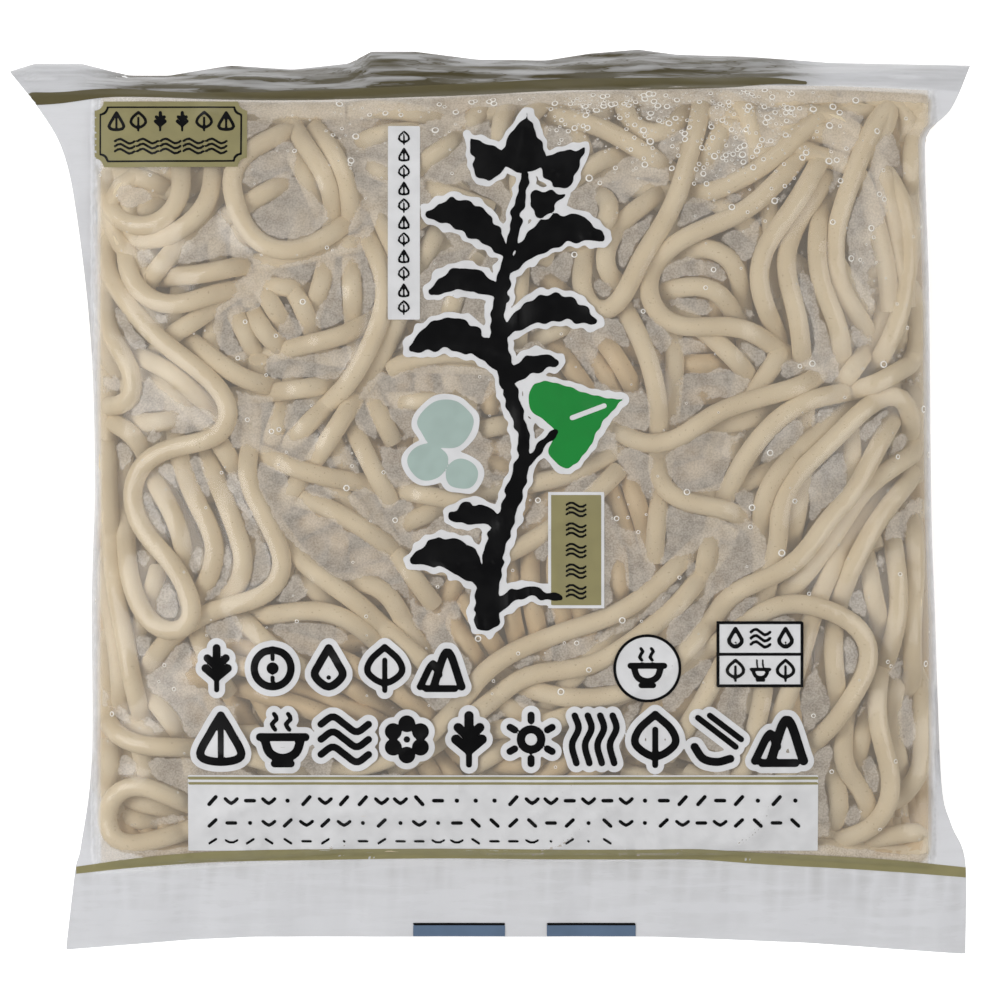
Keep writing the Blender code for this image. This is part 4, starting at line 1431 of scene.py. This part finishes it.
white.add(block(*STRIP))
black.row(["leaf", "grain"] * 5 + ["leaf"], *STRIP_ROW_AT)
white.add(block(*LABEL))
pale_gold.add(block(*inset(LABEL, LABEL_EDGE)))
black.row(["waves"] * 5, *LABEL_ROW_AT)
pale_gold.add(block(*PLAQUE, PLAQUE_NOTCH))
black.add(block(*inset(PLAQUE, PLAQUE_LINE), PLAQUE_LINE_NOTCH))
black.cut(block(*inset(PLAQUE, PLAQUE_LINE + PLAQUE_LINE_WIDTH), PLAQUE_LINE_NOTCH))
black.row(["grain", "leaf", "sheaf", "sheaf", "leaf", "grain"], *PLAQUE_ROW_AT)
black.row(["waves"] * 5, *PLAQUE_WAVES_AT)

# The panel of small marks, the round field and the framed one
PANEL = (188, 775, 818, 851)
PANEL_LINES = [(188, 776.5, 818, 779.5), (188, 782, 818, 784.5)]
# For each row of marks: how many, its top and its height. All start at one place, in even steps
MARK_ROWS = [(32, 791, 19), (32, 815, 16), (22, 836, 11)]
MARKS_LEFT = 204
MARK_STEP = 18.8
MARK_WIDTH = 17
ROUND_MIDDLE = (647, 668)
ROUND_RADIUS = 34
ROUND_EDGE = 2.8
ROUND_PICTURE = (627, 647, 40, 40)
FRAME_BOX = (716, 621, 803, 687)
FRAME_EDGE = 3
FRAME_BAR = (718, 652.5, 801, 655.5)
FRAME_UPPER_AT = [(724, 627), (25, 0), (22, 22)]
FRAME_LOWER_AT = [(724, 659), (25, 0), (22, 22)]
random = np.random.default_rng(FILM_SEED)
white.add(block(*PANEL))
for line in PANEL_LINES:
    pale_gold.add(block(*line))
for count, top, height in MARK_ROWS:
    for k in range(count):
        mark = SMALL_MARKS[random.integers(len(SMALL_MARKS))]
        black.picture(mark, MARKS_LEFT + MARK_STEP * k, top, MARK_WIDTH, height)
white.add(oval(*ROUND_MIDDLE, ROUND_RADIUS))
black.add(oval(*ROUND_MIDDLE, ROUND_RADIUS))
black.cut(oval(*ROUND_MIDDLE, ROUND_RADIUS - ROUND_EDGE))
black.picture(PICTURES["bowl"], *ROUND_PICTURE)
white.add(block(*FRAME_BOX))
black.add(block(*FRAME_BOX))
black.cut(block(*inset(FRAME_BOX, FRAME_EDGE)))
black.add(block(*FRAME_BAR))
black.row(["drop", "waves", "drop"], *FRAME_UPPER_AT)
black.row(["leaf", "bowl", "leaf"], *FRAME_LOWER_AT)

# The bands along the welds and the two fields cut off by the bottom edge
TOP_BAND = [(32, 98), (60, 97), (115, 92), (200, 95), (290, 95), (380, 92), (480, 88), (560, 84),
            (640, 83), (720, 82), (770, 80), (806, 82)]
BOTTOM_BAND = [(74, 871), (140, 863), (220, 857), (330, 855), (450, 854), (560, 855), (640, 855),
               (700, 855), (760, 859), (840, 863), (900, 867), (966, 873)]
TOP_BAND_WIDTHS = [13, 9, 6, 8, 10, 11, 12, 12, 12, 12, 10, 3]
BOTTOM_BAND_WIDTHS = [7, 10, 11, 11, 10, 10, 10, 10, 11, 12, 12, 10]
BLUE_FIELDS = [(413, 505), (547, 636)]
BLUE_TOP = 926
BLUE_LINE = (924, 926.5)
BELOW_EDGE = 960
gold.add(stroke(TOP_BAND, TOP_BAND_WIDTHS))
pale_gold.add(stroke(BOTTOM_BAND, BOTTOM_BAND_WIDTHS))
for left, right in BLUE_FIELDS:
    blue.add(block(left, BLUE_TOP, right, BELOW_EDGE))
    black.add(block(left, BLUE_LINE[0], right, BLUE_LINE[1]))
white.outside = np.maximum(white.outside, -OVERLAP - black.outside)
for ink in (gold, pale_gold, green, pale_green):
    white.outside = np.maximum(white.outside, -OVERLAP - ink.outside)

film_points = np.stack([film_x, film_y, film_z], axis=-1).reshape(-1, 3)
film_faces = [tuple(polygon.vertices) for polygon in film_front.data.polygons]
film_tree = BVHTree.FromPolygons(film_points.tolist(), film_faces)
printed("print_white", white, WHITE_LIFT, WHITE_INK)
printed("print_gold", gold, COLOUR_LIFT, GOLD_INK)
printed("print_pale_gold", pale_gold, COLOUR_LIFT, PALE_GOLD_INK)
printed("print_green", green, COLOUR_LIFT, GREEN_INK)
printed("print_pale_green", pale_green, COLOUR_LIFT, PALE_GREEN_INK)
printed("print_blue", blue, COLOUR_LIFT, BLUE_INK)
printed("print_black", black, BLACK_LIFT, BLACK_INK)


# The drops of water
# Moisture that has run together on the inside of the film, 0.3 to 1.3 mm across. They hang over the
# gaps between the noodles, thickest below the top weld, and each has a pale ring painted on as reflected
# light.

DROPS_APART = 0.00062
DROPS_MOST = 5200000.0
DROP_SMALLEST = 0.00016
DROP_RANGE = 0.0005
DROP_SKEW = 3.0
DROP_FLATNESS = 0.22
DROP_SEGMENTS = 12
DROP_RINGS = 6
DROP_CUT = -0.1
DROP_SEED = 4
DROP_ROUGHNESS = 0.12
# How much a drop covers of what is behind it at its middle, and what it adds at its rim
DROP_COVER = 0.3
RIM_COVER = 0.55
RIM_COVERS_AT = (0.45, 0.7)
# Painted light of a drop, from its middle, at 0, to its edge, at 1: a middle painted darker than the fog, a
# pale ring of painted reflection, and a darker edge
PAINTED_DROP_LIGHT = [(0.0, (0.45, 0.39, 0.31)), (0.5, (0.36, 0.31, 0.24)), (0.66, (0.95, 0.93, 0.88)),
                (0.86, (0.95, 0.93, 0.88)), (1.0, (0.42, 0.37, 0.30))]
# The middle and reach of each place with many drops, and how thickly they lie there
WET_PLACES = [(740, 100, 75, 1.0), (650, 88, 60, 1.0), (585, 92, 45, 1.0), (450, 105, 60, 0.2),
              (350, 120, 70, 0.13), (880, 240, 50, 0.1), (560, 540, 130, 0.05)]
ELSEWHERE = 0.011
CLEAR_OF_PRINT = 4
OVER_NOODLES = 0.4
WET_GAP = (0.3, 0.9)
WET_FULLNESS = (0.02, 0.12)


def drops_tree():
    """Geometry Nodes: low domes on a mesh, close together where its "wet" attribute is high.

    Most of them are small. Each has a "rim" attribute, 0 at its middle and 1 at its edge.
    """
    tree, given, result = new_tree(
        "drops_on_film",
        {"Geometry": "Geometry", "Apart": "Float", "Most": "Float", "Smallest": "Float",
         "Range": "Float", "Seed": "Int", "Material": "Material"},
    )
    wet = tree.nodes.new("GeometryNodeInputNamedAttribute")
    points = tree.nodes.new("GeometryNodeDistributePointsOnFaces")
    ball = tree.nodes.new("GeometryNodeMeshUVSphere")
    place = tree.nodes.new("GeometryNodeInputPosition")
    height = tree.nodes.new("ShaderNodeSeparateXYZ")
    below = tree.nodes.new("FunctionNodeCompare")
    dome = tree.nodes.new("GeometryNodeDeleteGeometry")
    level = tree.nodes.new("ShaderNodeVectorMath")
    outward = tree.nodes.new("ShaderNodeVectorMath")
    marked = tree.nodes.new("GeometryNodeStoreNamedAttribute")
    flattened = tree.nodes.new("GeometryNodeTransform")
    chance = tree.nodes.new("FunctionNodeRandomValue")
    skewed = tree.nodes.new("ShaderNodeMath")
    size = tree.nodes.new("ShaderNodeMath")
    drops = tree.nodes.new("GeometryNodeInstanceOnPoints")
    smooth = tree.nodes.new("GeometryNodeSetShadeSmooth")
    realized = tree.nodes.new("GeometryNodeRealizeInstances")
    finish = tree.nodes.new("GeometryNodeSetMaterial")
    wet.data_type = "FLOAT"
    wet.inputs["Name"].default_value = "wet"
    points.distribute_method = "POISSON"
    ball.inputs["Segments"].default_value = DROP_SEGMENTS
    ball.inputs["Rings"].default_value = DROP_RINGS
    ball.inputs["Radius"].default_value = 1.0
    below.data_type = "FLOAT"
    below.operation = "LESS_THAN"
    below.inputs[1].default_value = DROP_CUT
    level.operation = "MULTIPLY"
    level.inputs[1].default_value = (1, 1, 0)
    outward.operation = "LENGTH"
    marked.data_type = "FLOAT"
    marked.inputs["Name"].default_value = "rim"
    flattened.inputs["Scale"].default_value = (1, 1, DROP_FLATNESS)
    chance.data_type = "FLOAT"
    skewed.operation = "POWER"
    skewed.inputs[1].default_value = DROP_SKEW
    size.operation = "MULTIPLY_ADD"
    for source, target in (
        (given.outputs["Geometry"], points.inputs["Mesh"]),
        (wet.outputs["Attribute"], points.inputs["Density Factor"]),
        (given.outputs["Apart"], points.inputs["Distance Min"]),
        (given.outputs["Most"], points.inputs["Density Max"]),
        (given.outputs["Seed"], points.inputs["Seed"]),
        (place.outputs[0], height.inputs[0]),
        (height.outputs["Z"], below.inputs[0]),
        (ball.outputs["Mesh"], dome.inputs["Geometry"]),
        (below.outputs[0], dome.inputs["Selection"]),
        (place.outputs[0], level.inputs[0]),
        (level.outputs[0], outward.inputs[0]),
        (dome.outputs[0], marked.inputs["Geometry"]),
        (outward.outputs["Value"], marked.inputs["Value"]),
        (marked.outputs[0], flattened.inputs["Geometry"]),
        (given.outputs["Seed"], chance.inputs["Seed"]),
        (chance.outputs[1], skewed.inputs[0]),
        (skewed.outputs[0], size.inputs[0]),
        (given.outputs["Range"], size.inputs[1]),
        (given.outputs["Smallest"], size.inputs[2]),
        (points.outputs["Points"], drops.inputs["Points"]),
        (points.outputs["Rotation"], drops.inputs["Rotation"]),
        (flattened.outputs[0], drops.inputs["Instance"]),
        (size.outputs[0], drops.inputs["Scale"]),
        (drops.outputs[0], realized.inputs[0]),
        (realized.outputs[0], smooth.inputs[0]),
        (smooth.outputs[0], finish.inputs[0]),
        (given.outputs["Material"], finish.inputs["Material"]),
        (finish.outputs[0], result.inputs[0]),
    ):
        tree.links.new(source, target)
    return tree


def drop_material():
    """Water on film: a pale ring of painted reflection round a clear middle painted darker than the fog."""
    material, body, place = new_material("water_drops")
    rim = place.node("ShaderNodeAttribute", {"attribute_name": "rim"}, output="Fac")
    link(rim.node("ShaderNodeValToRGB", {"stops": PAINTED_DROP_LIGHT}, {"Fac": rim}), body, "Base Color")
    body.inputs["Roughness"].default_value = DROP_ROUGHNESS
    seen_through(material, body, DROP_COVER + RIM_COVER * rim.eased(*RIM_COVERS_AT))
    return material


inks = (black, white, green, pale_green, gold, pale_gold, blue)
printed_over = np.min([ink.outside for ink in inks], axis=0) < CLEAR_OF_PRINT
ink_column = np.clip(np.round((photo_x - PHOTO_LEFT) / INK_STEP).astype(int), 0, len(Ink.x) - 1)
ink_row = np.clip(np.round((photo_y - PHOTO_TOP) / INK_STEP).astype(int), 0, len(Ink.y) - 1)
wet = near_places(WET_PLACES, ELSEWHERE)
wet *= OVER_NOODLES + (1 - OVER_NOODLES) * smooth_share(gap, *WET_GAP)
wet *= smooth_share(full, *WET_FULLNESS) * ~printed_over[ink_row, ink_column]
give(film_front, "wet", wet)
wet_film = bpy.data.objects.new("wet_film", film_front.data.copy())
bpy.context.scene.collection.objects.link(wet_film)
modifier = wet_film.modifiers.new("drops", "NODES")
modifier.node_group = drops_tree()
set_input(modifier, "Apart", DROPS_APART)
set_input(modifier, "Most", DROPS_MOST)
set_input(modifier, "Smallest", DROP_SMALLEST)
set_input(modifier, "Range", DROP_RANGE)
set_input(modifier, "Seed", DROP_SEED)
set_input(modifier, "Material", drop_material())
water_drops = plain_mesh(wet_film, "water_drops")
water_drops.visible_shadow = False
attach(water_drops, "root")
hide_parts("noodle_bag")


# The place where the photograph was taken
# A white table under soft light from the left and the right, with the camera straight above.

CAMERA_LENS = 800
CAMERA_SENSOR = 36
PHOTO_SIZE = 1000
FOCUS_HEIGHT = 0.015
TABLE_HALF = 1.5
TABLE_GAP = 0.0002
TABLE_GLOW = 0.55
TABLE_COLOUR = (0.85, 0.85, 0.85)
TABLE_ROUGHNESS = 0.8
# The middle and half the size of the shade painted on the table under the filled body, and how soft its
# edge is
UNDER_MIDDLE = (0.0037, 0.0035, 0.0)
UNDER_HALF = (0.066, 0.0595)
UNDER_BLUR = 0.002
UNDER_SHADE_COLOUR = (0.16, 0.12, 0.08)
# The light of the room from the walls and from the ceiling, and the heights between which it changes
WALL_LIGHT = (0.35, 0.35, 0.35)
CEILING_LIGHT = (0.26, 0.26, 0.26)
CEILING_BEGINS = (0.55, 0.95)

photo_middle = metres((PHOTO_SIZE / 2, PHOTO_SIZE / 2))
camera_data = bpy.data.cameras.new("camera")
camera_data.lens = CAMERA_LENS
camera_data.sensor_width = CAMERA_SENSOR
camera = bpy.data.objects.new("camera", camera_data)
camera.location = (*photo_middle, FOCUS_HEIGHT + PHOTO_SIZE * PIXEL * CAMERA_LENS / CAMERA_SENSOR)
bpy.context.scene.collection.objects.link(camera)
bpy.context.scene.camera = camera


def softbox(name, place, size, power):
    """A square light of the given size in metres, turned to the bag."""
    data = bpy.data.lights.new(name, "AREA")
    data.shape = "SQUARE"
    data.size = size
    data.energy = power
    light = bpy.data.objects.new(name, data)
    light.location = place
    light.rotation_euler = (-light.location).to_track_quat("-Z", "Y").to_euler()
    bpy.context.scene.collection.objects.link(light)


softbox("light_left", (-0.62, 0.0, 0.62), 0.55, 3.85)
softbox("light_right", (0.62, 0.0, 0.6), 0.55, 2.3)
softbox("light_above", (0.0, 0.75, 0.7), 0.4, 0.5)

floor_data = bpy.data.meshes.new("floor")
floor_mesh = bmesh.new()
bmesh.ops.create_grid(floor_mesh, x_segments=1, y_segments=1, size=TABLE_HALF)
bmesh.ops.translate(floor_mesh, verts=floor_mesh.verts, vec=(0, 0, -TABLE_GAP))
floor_mesh.to_mesh(floor_data)
floor_mesh.free()
floor = bpy.data.objects.new("floor", floor_data)
bpy.context.scene.collection.objects.link(floor)
floor_material, floor_shader, floor_place = new_material("white_table")
# Under the filled body the table's colour and glow are painted dark: painted shade that shows through the
# gaps between the noodles
off_middle = floor_place.node(
    "ShaderNodeVectorMath", {"operation": "SUBTRACT"}, {0: floor_place, 1: UNDER_MIDDLE}
)
off_middle = off_middle.node("ShaderNodeVectorMath", {"operation": "ABSOLUTE"}, {0: off_middle})
sides = [off_middle.node("ShaderNodeSeparateXYZ", None, {"Vector": off_middle}, output=k) for k in (0, 1)]
lit = [side.eased(half - UNDER_BLUR, half) for side, half in zip(sides, UNDER_HALF)]
lit = lit[0].math("MAXIMUM", *lit)
link(lit.mixed(UNDER_SHADE_COLOUR, TABLE_COLOUR), floor_shader, "Base Color")
floor_shader.inputs["Roughness"].default_value = TABLE_ROUGHNESS
link(lit.mixed((0.0, 0.0, 0.0), (1.0, 1.0, 1.0)), floor_shader, "Emission Color")
floor_shader.inputs["Emission Strength"].default_value = TABLE_GLOW
floor_data.materials.append(floor_material)
floor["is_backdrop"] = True

world = bpy.data.worlds.new("studio")
world.use_nodes = True
bpy.context.scene.world = world
background = world.node_tree.nodes["Background"]
direction = Shade(world.node_tree).node("ShaderNodeTexCoord", output="Generated")
height = direction.node("ShaderNodeSeparateXYZ", None, {"Vector": direction}, output="Z")
link(height.eased(*CEILING_BEGINS).mixed(WALL_LIGHT, CEILING_LIGHT), background, "Color")
background.inputs["Strength"].default_value = 1.0
bpy.context.scene.view_settings.view_transform = "Standard"

boxes = {"solid": solid_box, "visual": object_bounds()}
{name: [list(corner) for corner in pair] for name, pair in boxes.items()}
